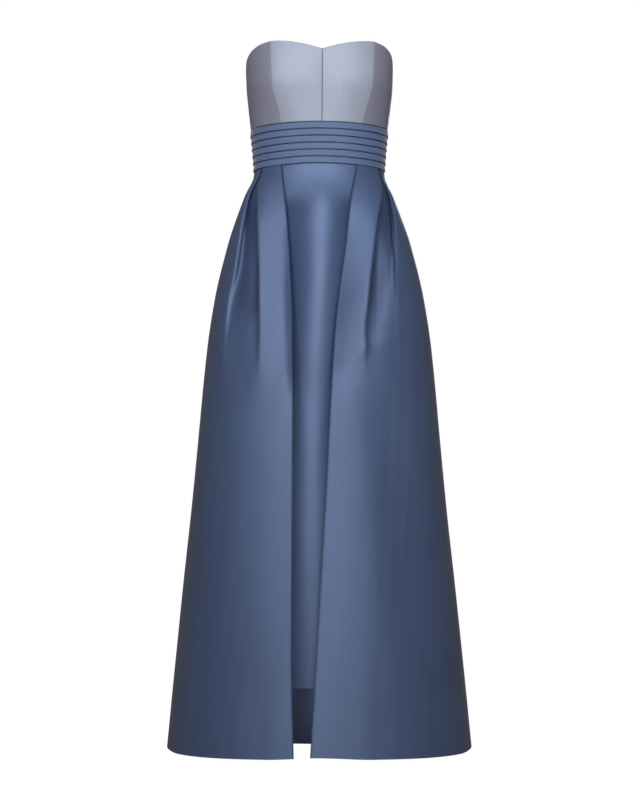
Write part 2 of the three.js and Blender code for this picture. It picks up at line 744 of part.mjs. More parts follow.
const SLIDER = { width: 6, height: 9, thick: 2.4, z: 158 };
const LOOP = { width: 1.2, wall: 1, gapOut: 3.2, gapTall: 5 };
const PULL = { width: 7, neck: 5, length: 21, thick: 1, bar: 1.2, slot: 5, slotWidth: 2.6 };

const wasm = await Module();
wasm.setup();

function solidFrom(geometry) {
  const bare = geometry.clone().deleteAttribute("normal").deleteAttribute("uv");
  const merged = mergeVertices(bare, 1e-4);
  const vertProperties = merged.attributes.position.array;
  const triVerts = new Uint32Array(merged.index.array);
  return new wasm.Manifold(new wasm.Mesh({ numProp: 3, vertProperties, triVerts }));
}

function geometryFrom(solid) {
  const mesh = solid.getMesh();
  const geometry = new THREE.BufferGeometry();
  geometry.setAttribute("position", new THREE.Float32BufferAttribute(mesh.vertProperties, 3));
  geometry.setIndex([...mesh.triVerts]);
  return geometry.toNonIndexed();
}

const sliderTop = SLIDER.z + SLIDER.height / 2 + LOOP.wall;
const sliderBack = bodicePoint(HALF_TURN, sliderTop).y + CLOTH / 2 + SEAM_GAP;
const pivot = new THREE.Vector3(0, sliderBack + SLIDER.thick + LOOP.gapOut / 2, SLIDER.z);

// Slider body with rounded ends, and the loop that the pull hangs on
function zipSlider() {
  const outline = new THREE.Shape();
  const [w, h] = [SLIDER.width / 2, SLIDER.height / 2];
  outline.moveTo(-w * 0.6, -h);
  outline.lineTo(w * 0.6, -h);
  outline.quadraticCurveTo(w, -h * 0.4, w, h * 0.3);
  outline.quadraticCurveTo(w, h, w * 0.5, h);
  outline.lineTo(-w * 0.5, h);
  outline.quadraticCurveTo(-w, h, -w, h * 0.3);
  outline.quadraticCurveTo(-w, -h * 0.4, -w * 0.6, -h);
  const options = { depth: SLIDER.thick, bevelEnabled: false, curveSegments: 4 };
  const body = new THREE.ExtrudeGeometry(outline, options);
  body.rotateX(QUARTER_TURN).translate(0, sliderBack + SLIDER.thick, SLIDER.z);

  const loopOutline = new THREE.Shape();
  const [outer, tall] = [LOOP.gapOut + LOOP.wall, LOOP.gapTall / 2 + LOOP.wall];
  loopOutline.moveTo(-0.5, -tall);
  loopOutline.lineTo(outer - 1, -tall);
  loopOutline.lineTo(outer, -tall + 1);
  loopOutline.lineTo(outer, tall - 1);
  loopOutline.lineTo(outer - 1, tall);
  loopOutline.lineTo(-0.5, tall);
  const hole = new THREE.Path();
  hole.moveTo(0, -LOOP.gapTall / 2);
  hole.lineTo(LOOP.gapOut, -LOOP.gapTall / 2);
  hole.lineTo(LOOP.gapOut, LOOP.gapTall / 2);
  hole.lineTo(0, LOOP.gapTall / 2);
  loopOutline.holes.push(hole);
  const loop = new THREE.ExtrudeGeometry(loopOutline, { depth: LOOP.width, bevelEnabled: false });
  // From the drawing's x, y and depth to the gown's y, z and x
  const turn = new THREE.Matrix4().set(0, 0, 1, 0, 1, 0, 0, 0, 0, 1, 0, 0, 0, 0, 0, 1);
  loop.applyMatrix4(turn).translate(-LOOP.width / 2, sliderBack + SLIDER.thick, SLIDER.z);
  add("zip_slider", geometryFrom(solidFrom(body).add(solidFrom(loop))), "zipMetal");
}
zipSlider();

// Drop-shaped pull, hung on the loop by the bar above its slot
function zipPull() {
  const outline = new THREE.Shape();
  const [neck, wide] = [PULL.neck / 2, PULL.width / 2];
  const top = PULL.bar / 2;
  const foot = top - PULL.length;
  outline.moveTo(-neck, top);
  outline.lineTo(neck, top);
  outline.absarc(0, foot + wide, wide, 0, -HALF_TURN, true);
  const slot = new THREE.Path();
  const half = PULL.slotWidth / 2;
  slot.moveTo(half, top - PULL.bar);
  slot.lineTo(-half, top - PULL.bar);
  slot.lineTo(-half, top - PULL.bar - PULL.slot);
  slot.lineTo(half, top - PULL.bar - PULL.slot);
  outline.holes.push(slot);
  const options = { depth: PULL.thick, bevelEnabled: false, curveSegments: 6 };
  const plate = new THREE.ExtrudeGeometry(outline, options);
  plate.translate(0, 0, -PULL.thick / 2).rotateX(QUARTER_TURN);
  const mesh = add("zip_pull", plate, "zipMetal");
  mesh.position.copy(pivot);
}
zipPull();

export default gown;
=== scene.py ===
"""A strapless satin gown, worn and hollow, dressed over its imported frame.

Each panel is a flat grid that is moved onto the gown's form and then given the cloth's thickness. The
tables are in millimetres, and so is every function up to the place where a mesh is made. x grows towards
the wearer's left, z grows upwards from the waist, and the front faces -y. Left and right are the wearer's.
"""

import math

import bmesh
import bpy
import numpy as np
from mathutils import Matrix, Vector


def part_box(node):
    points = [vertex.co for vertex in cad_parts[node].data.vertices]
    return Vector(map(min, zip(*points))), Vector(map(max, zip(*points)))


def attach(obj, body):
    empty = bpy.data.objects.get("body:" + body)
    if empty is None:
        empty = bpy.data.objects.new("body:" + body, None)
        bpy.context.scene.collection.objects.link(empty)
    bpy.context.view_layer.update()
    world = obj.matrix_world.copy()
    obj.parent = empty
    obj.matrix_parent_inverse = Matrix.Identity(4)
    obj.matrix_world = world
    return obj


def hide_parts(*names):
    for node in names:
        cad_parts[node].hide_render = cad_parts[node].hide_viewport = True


bl_info = {
    "name": "Satin Gown",
    "version": (1, 0, 0),
    "blender": (4, 5, 0),
    "location": "View3D > Sidebar > Gown",
    "description": "Builds a strapless satin gown with a tucked waistband and an overskirt open at the front",
    "category": "Add Mesh",
}

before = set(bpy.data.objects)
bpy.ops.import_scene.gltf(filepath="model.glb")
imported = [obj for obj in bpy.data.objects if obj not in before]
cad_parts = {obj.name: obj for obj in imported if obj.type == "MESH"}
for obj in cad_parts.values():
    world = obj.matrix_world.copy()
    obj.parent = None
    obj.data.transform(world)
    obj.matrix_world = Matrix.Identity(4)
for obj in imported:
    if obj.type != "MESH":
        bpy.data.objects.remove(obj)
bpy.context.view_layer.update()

MM = 0.001
QUARTER = math.pi / 2
SEAM_GAP = 0.08
SEAM_REACH = 120  # about how far a seam is from the middle, where its gap is given as an angle
BAND_TOP = 71.5
BAND_FOOT = -5
BAND_DIP = 4.8  # how much lower the waistband is at the sides
BAND_INSIDE = -1.2
WAIST_REACH = 120  # distance down the skirts over which the waistband's lower edge still shifts the cloth
OVERSKIRT_LENGTH = 1096
UNDERSKIRT_LENGTH = 977

# The form that the bodice and waistband follow, by height above the waist
BODY_FORM = {
    "z": (0, 36, 74, 110, 150, 182, 220),
    "half": (122.6, 125.4, 129.6, 133.6, 136.4, 137.4, 136),
    "front": (88, 92, 96, 101, 106, 107, 104),
    "back": (86, 84, 84, 86, 90, 93, 95),
    "square": (2.2, 2.25, 2.3, 2.35, 2.4, 2.4, 2.4),
    "bust": (0, 1, 3, 8, 13, 12, 8),
}

# The overskirt's form, by distance below the waist
OVERSKIRT_FORM = {
    "drop": (0, 14, 60, 98, 136, 174, 211, 249, 324, 400, 513, 663, 815, 1096),
    "half": (122.4, 124, 140.8, 154, 167.2, 177.6, 187, 195.2, 207.2, 215.4, 225.2, 239.2, 255.8, 283.6),
    "front": (88, 91, 102, 112, 122, 132, 141, 150, 166, 180, 198, 219, 240, 278),
    "back": (86, 89, 108, 121, 133, 145, 156, 166, 182, 195, 211, 230, 247, 276),
    "square": (2.2, 2.24, 2.48, 2.68, 2.78, 2.8, 2.8, 2.8, 2.75, 2.7, 2.65, 2.6, 2.5, 2.4),
}

# The slim underskirt's form
UNDERSKIRT_FORM = {
    "drop": (0, 30, 60, 136, 220, 400, 700, 977),
    "half": (120.6, 125, 130, 147, 160, 164, 164, 166),
    "front": (86.2, 89, 93, 105, 116, 131, 154, 174),
    "back": (84.2, 90, 98, 113, 122, 124, 128, 134),
    "square": (2.2, 2.24, 2.3, 2.4, 2.35, 2.3, 2.25, 2.2),
}

# Neckline height by angle from the front seam, in degrees
NECKLINE = {
    "angle": (0, 12, 21, 34, 44, 56, 67, 76, 90, 125, 180),
    "z": (205.5, 211.5, 215.5, 220, 221.5, 217.5, 208.5, 198, 184, 177, 169),
}

# Princess seams: distance sideways from the front seam, by height
PRINCESS_SEAM = {"z": (74, 92, 112, 140, 218), "out": (78, 82, 88, 95, 98)}

# Hem of the overskirt: how much lower than its length, by angle from the front, in degrees
HEM_DIP = {"angle": (-10, 0, 20, 35, 60, 75, 90, 135, 180), "dip": (0, 0, 3.2, 3, 0.3, -5, -9, 0, 7)}

# Front opening: each front edge's distance from the middle, on its own side
OPENING_EDGE = {
    "right": {
        "drop": (0, 86, 194, 302, 454, 921, 1096),
        "out": (69.5, 62.3, 53.9, 49, 47.9, 49, 45.3),
    },
    "left": {
        "drop": (0, 74, 157, 231, 302, 441, 602, 741, 921, 1096),
        "out": (68.9, 58, 49.7, 38.9, 30.6, 21.1, 13, 4.9, -5.6, -16.4),
    },
}

# Inverted pleats: where their two folded edges lie, as distances from the middle
PLEAT_EDGES = {
    "right": {
        "drop": (0, 30, 60, 136, 211, 270, 340, 1096),
        "near": (107, 111, 113, 112.8, 111, 110, 109.5, 120),
        "far": (109.6, 121, 131.5, 144.5, 156, 168, 173, 215),
    },
    "left": {
        "drop": (0, 30, 60, 110, 174, 250, 340, 1096),
        "near": (112, 114.5, 114.2, 108.5, 101.5, 92, 85, 80),
        "far": (114.6, 123.5, 132.5, 140.5, 142.5, 143.5, 146, 190),
    },
    "back": {
        "drop": (0, 60, 136, 250, 340, 1096),
        "near": (60, 60, 58, 56, 56, 84),
        "far": (62.6, 76, 92, 112, 122, 178),
    },
}

# How the pleats open: depth of the fold, and closed = 1 where its underlay lies flat behind both edges
PLEAT_OPENING = {
    "drop": (0, 30, 60, 100, 140, 200, 260, 330, 420, 1096),
    "depth": (3.8, 4.8, 7, 11, 14, 15, 11, 5, 0, 0),
    "closed": (1, 1, 0.85, 0.6, 0.35, 0.12, 0, 0, 0, 0),
}

# Path of the cloth into a pleat: distance past an edge, and share of the pleat's depth. closed is where it
# lies behind either edge near the waist. Lower down it has opened: near is past its near edge, where it drops
# steeply, and far past its far edge, where its underlay ends at a box fold or slopes up to the edge.
PLEAT_PATH = {
    "closed": (-12, -3, 0, -3, -20, -23, -20, -3),
    "closed_depth": (0, 0, 0.25, 0.5, 0.5, 0.75, 1, 1),
    "near": (-14, -4, -0.5, 1.5, 3.5, 7, 11, 15),
    "near_depth": (0, 0, 0.12, 0.45, 0.76, 0.95, 1, 0.98),
    "far": (-14, -5, -1, 1, 3.5, 7, 11, 15),
    "box_depth": (0, -0.06, 0.04, 0.3, 0.62, 0.8, 0.88, 0.92),
    "slope_depth": (0, 0, 0.04, 0.1, 0.18, 0.27, 0.38, 0.5),
}
PLEAT_SLOPE = {"right": 0.3, "left": 1, "back": 0.6}  # share of the underlay that slopes up to its far edge
PLEAT_WIDENING = 1.4
PLEAT_ROOM = 5.8  # how far the underskirt stands back behind the closed pleats
FLUTE_HEIGHT = 9
FLUTES_PER_TURN = 10
FLUTE_START_DROP = 380

# Soft creases pressed into the overskirt. A path's points are the distance from the middle, the distance
# below the waist and how far the cloth stands out there, or in where that is below nought.
CREASES = {
    "left": (
        {"path": ((84, 280, 0), (90, 312, -2.4), (95, 340, -2.4), (102, 365, 0)), "wide": 8},
        {"path": ((28, 70, 0), (22, 150, -15), (12, 280, -20), (6, 370, -15), (4, 460, 0)), "wide": 42},
        {
            "path": ((114, 8, 0), (112, 55, 5), (106, 150, 5), (95, 250, 8), (90, 330, 5), (88, 420, 0)),
            "wide": 26,
        },
        {"path": ((20, 400, 0), (60, 378, 1.4), (92, 350, 1.6), (122, 338, 1.2), (165, 332, 0)), "wide": 9},
        {"path": ((110, 320, 0), (138, 520, -8), (164, 760, -9), (180, 960, -4), (190, 1090, 0)), "wide": 46},
    ),
    "right": (
        {"path": ((50, 70, 0), (48, 150, -8), (44, 280, -12), (42, 380, -10), (40, 500, 0)), "wide": 15},
        {
            "path": ((112, 8, 0), (114, 55, 6), (115, 120, 10), (114, 250, 10), (112, 350, 6), (110, 460, 0)),
            "wide": 27,
        },
        {"path": ((165, 250, 0), (178, 340, 1.2), (186, 430, 0)), "wide": 16},
        {"path": ((140, 330, 0), (170, 520, 2), (188, 720, 3), (206, 1000, 1)), "wide": 48},
    ),
    "back": (
        {"path": ((60, 280, 0), (78, 340, 1.5), (108, 392, 0)), "wide": 11},
        {"path": ((20, 40, 0), (24, 190, -1.4), (28, 350, 0)), "wide": 18},
    ),
}

# Soft creases of the underskirt's front, in the same way. Distances from the middle grow to the left.
UNDERSKIRT_CREASES = (
    {"path": ((-8, 0, 0), (-8.5, 12, -0.8), (-9, 26, 0)), "wide": 2.4},
    {
        "path": (
            (8, 10, 0),
            (5, 100, 17),
            (1, 230, 22),
            (-7, 360, 19),
            (-13, 470, 13),
            (-22, 680, 5),
            (-26, 940, 1),
        ),
        "wide": 42,
    },
)


def follow(table, column, at):
    """Value of a table's column at places on its first, on a smooth curve that never overshoots a row."""
    keys = np.array(next(iter(table.values())), float)
    values = np.array(table[column], float)
    at = np.asarray(at, float)
    slopes = np.diff(values) / np.diff(keys)
    before, after = slopes[:-1], slopes[1:]
    turning = before * after <= 0
    middle = np.where(turning, 0, 2 * before * after / np.where(turning, 1, before + after))
    tangents = np.concatenate([slopes[:1], middle, slopes[-1:]])
    i = np.clip(np.searchsorted(keys, at) - 1, 0, len(keys) - 2)
    span = keys[i + 1] - keys[i]
    t = np.clip((at - keys[i]) / span, 0, 1)
    bend = (2 * t**3 - 3 * t**2 + 1) * values[i] + (3 * t**2 - 2 * t**3) * values[i + 1]
    lean = (t**3 - 2 * t**2 + t) * tangents[i] + (t**3 - t**2) * tangents[i + 1]
    return bend + lean * span


def smoothstep(at, low, high):
    """Share from 0 to 1 of the way from low to high, with soft ends."""
    t = np.clip((np.asarray(at, float) - low) / (high - low), 0, 1)
    return t * t * (3 - 2 * t)


def mix(low, high, share):
    return low + (high - low) * share


def radius(form, at, angle):
    """Distance from the middle to the form's ring, at an angle from the front that grows to the left."""
    depth = np.where(np.cos(angle) > 0, follow(form, "front", at), follow(form, "back", at))
    square = follow(form, "square", at)
    side = np.abs(np.sin(angle)) / follow(form, "half", at)
    along = np.abs(np.cos(angle)) / depth
    return (side**square + along**square) ** (-1 / square)


def polar(distance, angle, z):
    """Points in space from distance and angle, with z spread over them."""
    return np.stack(np.broadcast_arrays(distance * np.sin(angle), -distance * np.cos(angle), z), axis=-1)


def band_dip(angle):
    """How much lower the waistband lies at an angle from the front."""
    return BAND_DIP * np.sin(angle) ** 2


def skirt_height(drop, angle):
    """Height of a skirt's cloth, whose upper edge follows the waistband's lower edge."""
    return -SEAM_GAP - drop + (BAND_FOOT - band_dip(angle)) * (1 - smoothstep(drop, 0, WAIST_REACH))


def skirt_drop(z):
    """Distance down a skirt at a height, at the back seam."""
    drop = np.maximum(0, -z)
    for _ in range(4):
        drop = np.maximum(0, -SEAM_GAP - z + BAND_FOOT * (1 - smoothstep(drop, 0, WAIST_REACH)))
    return drop


def lengths(points, axis):
    """Running length along rows or columns of a grid of points."""
    steps = np.linalg.norm(np.diff(points, axis=axis), axis=-1)
    start = np.zeros_like(np.take(steps, [0], axis=axis))
    return np.concatenate([start, np.cumsum(steps, axis=axis)], axis=axis)


def outwards(points):
    """Directions square to a grid of points, to the side that it faces."""
    across = np.gradient(points, axis=1)
    down = np.gradient(points, axis=0)
    normal = np.cross(down, across)
    return normal / np.maximum(np.linalg.norm(normal, axis=-1, keepdims=True), 1e-9)


def shares(length, step, near=(0.7, 1.5, 2.6, 4.2)):
    """Places from 0 to 1 along a length, a step apart, and closer together near both ends."""
    close = np.array(near, float)
    count = max(2, round((length - 2 * close[-1]) / step))
    inner = np.linspace(close[-1], length - close[-1], count + 1)
    places = np.concatenate([[0], close[:-1], inner, (length - close[:-1])[::-1], [length]])
    return places / length


def ripple(across, down, size, seed):
    """Faint unevenness of hanging cloth, from a few long waves. Its height is about 1."""
    waves = np.random.default_rng(seed)
    total = 0
    for _ in range(5):
        turn, start = waves.uniform(-0.6, 0.6), waves.uniform(0, 2 * math.pi)
        pace = 2 * math.pi / (size * waves.uniform(0.6, 1.6))
        total = total + np.sin(pace * (across * math.cos(turn) + 0.35 * down * math.sin(turn)) + start)
    return total / 5


def pressed(out, drop, creases):
    """Height of pressed creases at places given by distance from the middle and distance below the waist."""
    height = np.zeros(np.broadcast(out, drop).shape)
    for crease in creases:
        nearest = np.full(height.shape, 1e9)
        high = np.zeros(height.shape)
        path = crease["path"]
        for (x0, y0, high0), (x1, y1, high1) in zip(path, path[1:]):
            run_x, run_y = x1 - x0, y1 - y0
            along = np.clip(((out - x0) * run_x + (drop - y0) * run_y) / (run_x**2 + run_y**2), 0, 1)
            away = np.hypot(out - x0 - along * run_x, drop - y0 - along * run_y)
            high = np.where(away < nearest, mix(high0, high1, smoothstep(along, 0, 1)), high)
            nearest = np.minimum(nearest, away)
        height += high * np.exp(-((nearest / crease["wide"]) ** 2))
    return height


def grid_mesh(points, crease=None, loop=False):
    """A bmesh grid moved onto points, facing outwards, with its cloth's directions as a UV map in metres.

    The material darkens by a grid of 0 to 1 of painted shade. A loop joins the last row to the first.
    """
    rows, columns = points.shape[0] - 1, points.shape[1] - 1
    across = lengths(points, 1)
    up = -lengths(points, 0) if loop else points[..., 2]
    bm = bmesh.new()
    bmesh.ops.create_grid(bm, x_segments=columns, y_segments=rows, size=0.5)
    cut = bm.loops.layers.uv.new("cut")
    shade = bm.verts.layers.float.new("crease")
    places = {}
    for vert in bm.verts:
        i, j = round((0.5 - vert.co.y) * rows), round((vert.co.x + 0.5) * columns)
        places[vert] = (i, j)
        vert.co = Vector(points[i, j]) * MM
        vert[shade] = 0.0 if crease is None else float(crease[i, j])
    smooth(bm)
    for face in bm.faces:
        for corner in face.loops:
            i, j = places[corner.vert]
            corner[cut].uv = (across[i, j] * MM, up[i, j] * MM)
    if loop:
        bmesh.ops.remove_doubles(bm, verts=bm.verts, dist=1e-7)
    bm.normal_update()
    return bm


def smooth(bm):
    """Shades every face as part of a curved surface."""
    for face in bm.faces:
        face.smooth = True


def round_edges(bm, edges, offset, segments):
    """Bevels edges all round by an offset."""
    bmesh.ops.bevel(
        bm,
        geom=edges,
        offset=offset,
        offset_type="OFFSET",
        segments=segments,
        profile=0.5,
        affect="EDGES",
        material=-1,
    )


def set_down(place, directions):
    """Matrix in metres that sets a small shape at a place, drawn out along three directions."""
    turn = Matrix(directions).transposed().to_4x4()
    return Matrix.Scale(MM, 4) @ (Matrix.Translation(place) @ turn)


def finish_piece(name, bm, material, body="gown", replaces=()):
    """Makes the object of a finished bmesh, with its material, body and replaced nodes."""
    mesh = bpy.data.meshes.new(name)
    bm.to_mesh(mesh)
    bm.free()
    mesh.materials.append(material)
    piece = bpy.data.objects.new(name, mesh)
    bpy.context.scene.collection.objects.link(piece)
    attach(piece, body)
    if replaces:
        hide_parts(*replaces)
    return piece


def thicken(piece, thickness):
    """Gives a sheet its thickness, half to each side."""
    solid = piece.modifiers.new("cloth", "SOLIDIFY")
    solid.thickness = thickness * MM
    solid.offset = 0


def cloth_thickness():
    """Thickness of the satin in millimetres."""
    return bpy.context.scene.gown_sizes.cloth / MM


def colour_of(part):
    """Colour that the settings give a part."""
    return getattr(bpy.context.scene.gown_colours, part)[:]


# Materials


def add_node(tree, kind, place, **values):
    """Adds a node at a place in the editor. A value named like a socket is set there, others on the node."""
    node = tree.nodes.new(kind)
    node.location = place
    for name, value in values.items():
        if name in node.inputs:
            node.inputs[name].default_value = value
        else:
            setattr(node, name, value)
    return node


def new_material(name):
    """A material with its nodes emptied to one shader and its output."""
    material = bpy.data.materials.new(name)
    material.use_nodes = True
    tree = material.node_tree
    tree.nodes.clear()
    output = add_node(tree, "ShaderNodeOutputMaterial", (600, 0))
    shader = add_node(tree, "ShaderNodeBsdfPrincipled", (300, 0))
    tree.links.new(shader.outputs["BSDF"], output.inputs["Surface"])
    return material, tree, shader


def streaks(tree, place, coordinates, scale, detail):
    """Noise drawn out along the cloth's threads: scale is how many patches in a metre, across and down."""
    mapping = add_node(tree, "ShaderNodeMapping", place)
    mapping.inputs["Scale"].default_value = (scale[0], scale[1], 1)
    tree.links.new(coordinates, mapping.inputs["Vector"])
    noise = add_node(tree, "ShaderNodeTexNoise", (place[0] + 200, place[1]), Scale=1.0, Detail=detail)
    tree.links.new(mapping.outputs["Vector"], noise.inputs["Vector"])
    return noise.outputs["Fac"]


def varied(tree, place, amount, low, high):
    """A noise value mapped to run from low to high."""
    node = add_node(tree, "ShaderNodeMapRange", place)
    node.inputs["From Min"].default_value = 0.3
    node.inputs["From Max"].default_value = 0.7
    node.inputs["To Min"].default_value = low
    node.inputs["To Max"].default_value = high
    tree.links.new(amount, node.inputs["Value"])
    return node.outputs["Result"]


def product(tree, place, first, second):
    """Two values multiplied."""
    node = add_node(tree, "ShaderNodeMath", place, operation="MULTIPLY")
    tree.links.new(first, node.inputs[0])
    tree.links.new(second, node.inputs[1])
    return node.outputs["Value"]


def speckle(tree, scale, detail):
    """Noise over a piece: scale is how many patches lie in a metre."""
    place = add_node(tree, "ShaderNodeTexCoord", (-900, 0)).outputs["Object"]
    noise = add_node(tree, "ShaderNodeTexNoise", (-700, 0), Scale=scale, Detail=detail)
    tree.links.new(place, noise.inputs["Vector"])
    return noise.outputs["Fac"]


def colour_between(tree, shader, amount, low, high):
    """Colours a shader from low to high by an amount."""
    tint = add_node(tree, "ShaderNodeMix", (-50, 200), data_type="RGBA")
    tint.inputs["A"].default_value = (*low, 1)
    tint.inputs["B"].default_value = (*high, 1)
    tree.links.new(amount, tint.inputs["Factor"])
    tree.links.new(tint.outputs["Result"], shader.inputs["Base Color"])


def raise_relief(tree, shader, height, strength, distance):
    """Lets a shader's light fall as if the surface stood out by a height."""
    relief = add_node(tree, "ShaderNodeBump", (0, -350), Strength=strength, Distance=distance)
    tree.links.new(height, relief.inputs["Height"])
    tree.links.new(relief.outputs["Normal"], shader.inputs["Normal"])


# What is left of the satin's red, green and blue in the painted shade at the bottom of a fold
PAINTED_SHADE_TINT = (0.02, 0.06, 0.24)


def satin(name, colour, roughness, metallic, sheen, grain, turn):
    """Heavy satin, with faint long streaks along its threads and painted shade in its creases.

    grain is how many streaks lie in a metre, across and down. turn lays its shine along or across the piece.
    """
    material, tree, shader = new_material(name)
    uv = add_node(tree, "ShaderNodeUVMap", (-1500, 0), uv_map="cut").outputs["UV"]
    threads = streaks(tree, (-1300, 300), uv, (900, 26), 3)
    slubs = streaks(tree, (-1300, 0), uv, grain, 4)
    clouds = streaks(tree, (-1300, -300), uv, (7, 5), 2)
    value = product(
        tree,
        (-700, 200),
        varied(tree, (-900, 300), threads, 0.97, 1.03),
        varied(tree, (-900, 0), slubs, 0.95, 1.05),
    )
    value = product(tree, (-500, 100), value, varied(tree, (-700, -300), clouds, 0.96, 1.04))
    # Painted shade: the attribute mixes the colour towards a dark navy in folds, seams, tuck undersides and
    # pleat recesses
    crease = add_node(tree, "ShaderNodeAttribute", (-700, -550), attribute_name="crease").outputs["Fac"]
    tint = add_node(tree, "ShaderNodeMix", (-300, 200), data_type="RGBA", blend_type="MULTIPLY")
    tint.inputs["Factor"].default_value = 1.0
    tint.inputs["A"].default_value = (*colour, 1)
    tree.links.new(value, tint.inputs["B"])
    painted_fold_shade = add_node(tree, "ShaderNodeMix", (-50, 200), data_type="RGBA")
    painted_fold_shade.inputs["B"].default_value = (*(left * part for left, part in zip(PAINTED_SHADE_TINT, colour)), 1)
    tree.links.new(crease, painted_fold_shade.inputs["Factor"])
    tree.links.new(tint.outputs["Result"], painted_fold_shade.inputs["A"])
    tree.links.new(painted_fold_shade.outputs["Result"], shader.inputs["Base Color"])
    rough = varied(tree, (-500, -250), slubs, roughness - 0.04, roughness + 0.04)
    tree.links.new(rough, shader.inputs["Roughness"])
    shader.inputs["Metallic"].default_value = metallic
    shader.inputs["Specular IOR Level"].default_value = 0.5
    shader.inputs["Sheen Weight"].default_value = sheen
    shader.inputs["Sheen Roughness"].default_value = 0.45
    shader.inputs["Anisotropic"].default_value = 0.4
    shader.inputs["Anisotropic Rotation"].default_value = turn
    tangent = add_node(tree, "ShaderNodeTangent", (0, -600), direction_type="UV_MAP", uv_map="cut")
    tree.links.new(tangent.outputs["Tangent"], shader.inputs["Tangent"])
    raise_relief(tree, shader, product(tree, (-250, -400), threads, slubs), 0.12, 0.0004)
    return material


def made_once(name, make, *values):
    """A material by name, made the first time that it is asked for."""
    return bpy.data.materials.get(name) or make(name, *values)


def bodice_satin():
    return made_once("bodice satin", satin, colour_of("bodice"), 0.5, 0.12, 0.1, (34, 5), 0.25)


def turned_satin_painted_darker():
    """The side panels' satin, cut across its grain, painted darker and warmer for their shade."""
    return made_once("turned bodice satin", satin, colour_of("turned"), 0.55, 0.1, 0.1, (34, 5), 0.25)


def band_satin():
    return made_once("waistband satin", satin, colour_of("band"), 0.58, 0.0, 0.5, (6, 150), 0.0)


def skirt_satin():
    return made_once("skirt satin", satin, colour_of("skirt"), 0.48, 0.22, 0.06, (70, 1.5), 0.25)


# Painted light: the overskirt's satin in a paler colour, so that the underskirt looks lit inside the front
# opening
def underskirt_satin_painted_paler():
    return made_once("underskirt satin", satin, colour_of("underskirt"), 0.48, 0.22, 0.06, (70, 1.5), 0.25)


def woven_tape(name, colour):
    """Matt ribbed tape."""
    material, tree, shader = new_material(name)
    uv = add_node(tree, "ShaderNodeUVMap", (-900, 0), uv_map="cut").outputs["UV"]
    ribs = add_node(tree, "ShaderNodeTexWave", (-600, 0), Scale=420.0, Distortion=0.4, bands_direction="Y")
    tree.links.new(uv, ribs.inputs["Vector"])
    between = [0.75 * part for part in colour]
    colour_between(tree, shader, ribs.outputs["Fac"], between, colour)
    shader.inputs["Roughness"].default_value = 0.8
    raise_relief(tree, shader, ribs.outputs["Fac"], 0.3, 0.0003)
    return material


def painted_metal(name, colour):
    """Lacquered zip metal, a little worn where hands touch it."""
    material, tree, shader = new_material(name)
    wear = speckle(tree, 900.0, 4.0)
    worn = [0.6 + 0.4 * part for part in colour]
    colour_between(tree, shader, varied(tree, (-400, 0), wear, 0.0, 0.25), colour, worn)
    tree.links.new(varied(tree, (-400, -250), wear, 0.28, 0.42), shader.inputs["Roughness"])
    shader.inputs["Metallic"].default_value = 0.35
    return material


def thread(name, colour):
    """Sewing thread, uneven where its strands twist."""
    material, tree, shader = new_material(name)
    strands = varied(tree, (-400, 0), speckle(tree, 2600.0, 1.0), 0.0, 1.0)
    colour_between(tree, shader, strands, [0.6 * part for part in colour], colour)
    shader.inputs["Roughness"].default_value = 0.6
    shader.inputs["Sheen Weight"].default_value = 0.2
    return material


# Sewing

# Rows of a turned hem, as distances up from its fold, and the row that its stitches run along
HEM_TURNING = np.array([24, 23.2, 21, 17, 13, 9, 5, 2.5, 1, 0.4])
STITCHED_ROW = 4
NECK_TURNING = slice(1, 8)  # rows of a bodice panel that its neck turning lies behind
TURNED_CLOTH = 0.5
TURNED_AWAY = 0.12  # air between a turned edge and its panel
STITCH = {"pitch": 3.4, "length": 0.4, "wide": 0.28, "high": 0.22}  # length is a share of the pitch


def stitch_row(name, line, facing, colour, slot, pitch=STITCH["pitch"]):
    """Small stitches along a line of points. facing holds the direction that the cloth faces at each."""
    run = lengths(line[None], 1)[0]
    places = np.arange(pitch / 2, run[-1], pitch)
    middle = np.stack([np.interp(places, run, line[:, axis]) for axis in range(3)], axis=1)
    ahead = np.stack([np.interp(places + 0.1, run, line[:, axis]) for axis in range(3)], axis=1)
    up = np.stack([np.interp(places, run, facing[:, axis]) for axis in range(3)], axis=1)
    bm = bmesh.new()
    for place, towards, out in zip(middle[:-1], ahead[:-1], up[:-1]):
        out = Vector(out).normalized()
        along = Vector(towards - place).normalized()
        beside = out.cross(along).normalized()
        size = along * pitch * STITCH["length"], beside * STITCH["wide"], out * STITCH["high"]
        bmesh.ops.create_icosphere(bm, subdivisions=1, radius=1, matrix=set_down(Vector(place), size))
    smooth(bm)
    return finish_piece(name, bm, made_once(slot + " thread", thread, colour))


def turned_edge(name, outer, material, colour, slot):
    """Cloth of a panel turned in along its edge and held by stitches. outer is the panel's cloth there."""
    facing = outwards(outer)
    inner = outer - facing * (cloth_thickness() / 2 + TURNED_CLOTH / 2 + TURNED_AWAY)
    inner = inner - facing * (0.1 * ripple(lengths(inner, 1), 0, 40, 51))[..., None]
    piece = finish_piece(name, grid_mesh(inner), material)
    thicken(piece, TURNED_CLOTH)
    line = inner[STITCHED_ROW] - facing[STITCHED_ROW] * (TURNED_CLOTH / 2)
    seen = stitch_row(name + "_stitches", line, -facing[STITCHED_ROW], colour, slot)


# Bodice

BODICE_TURN = math.radians(3)
BODICE_HEIGHT = 140
RIDGE_ROUNDING = 0.03  # angle over which the ridge at a princess seam is rounded
RIDGE_REACH = 0.75  # angle over which it fades towards the side
NECK_ROLL = {"inwards": 0.35, "wide": 1.1}


def turned(angle):
    """How far the bodice has turned at an angle: fully at the front, not at all at the back seam."""
    return angle + BODICE_TURN * (1 + np.cos(angle)) / 2


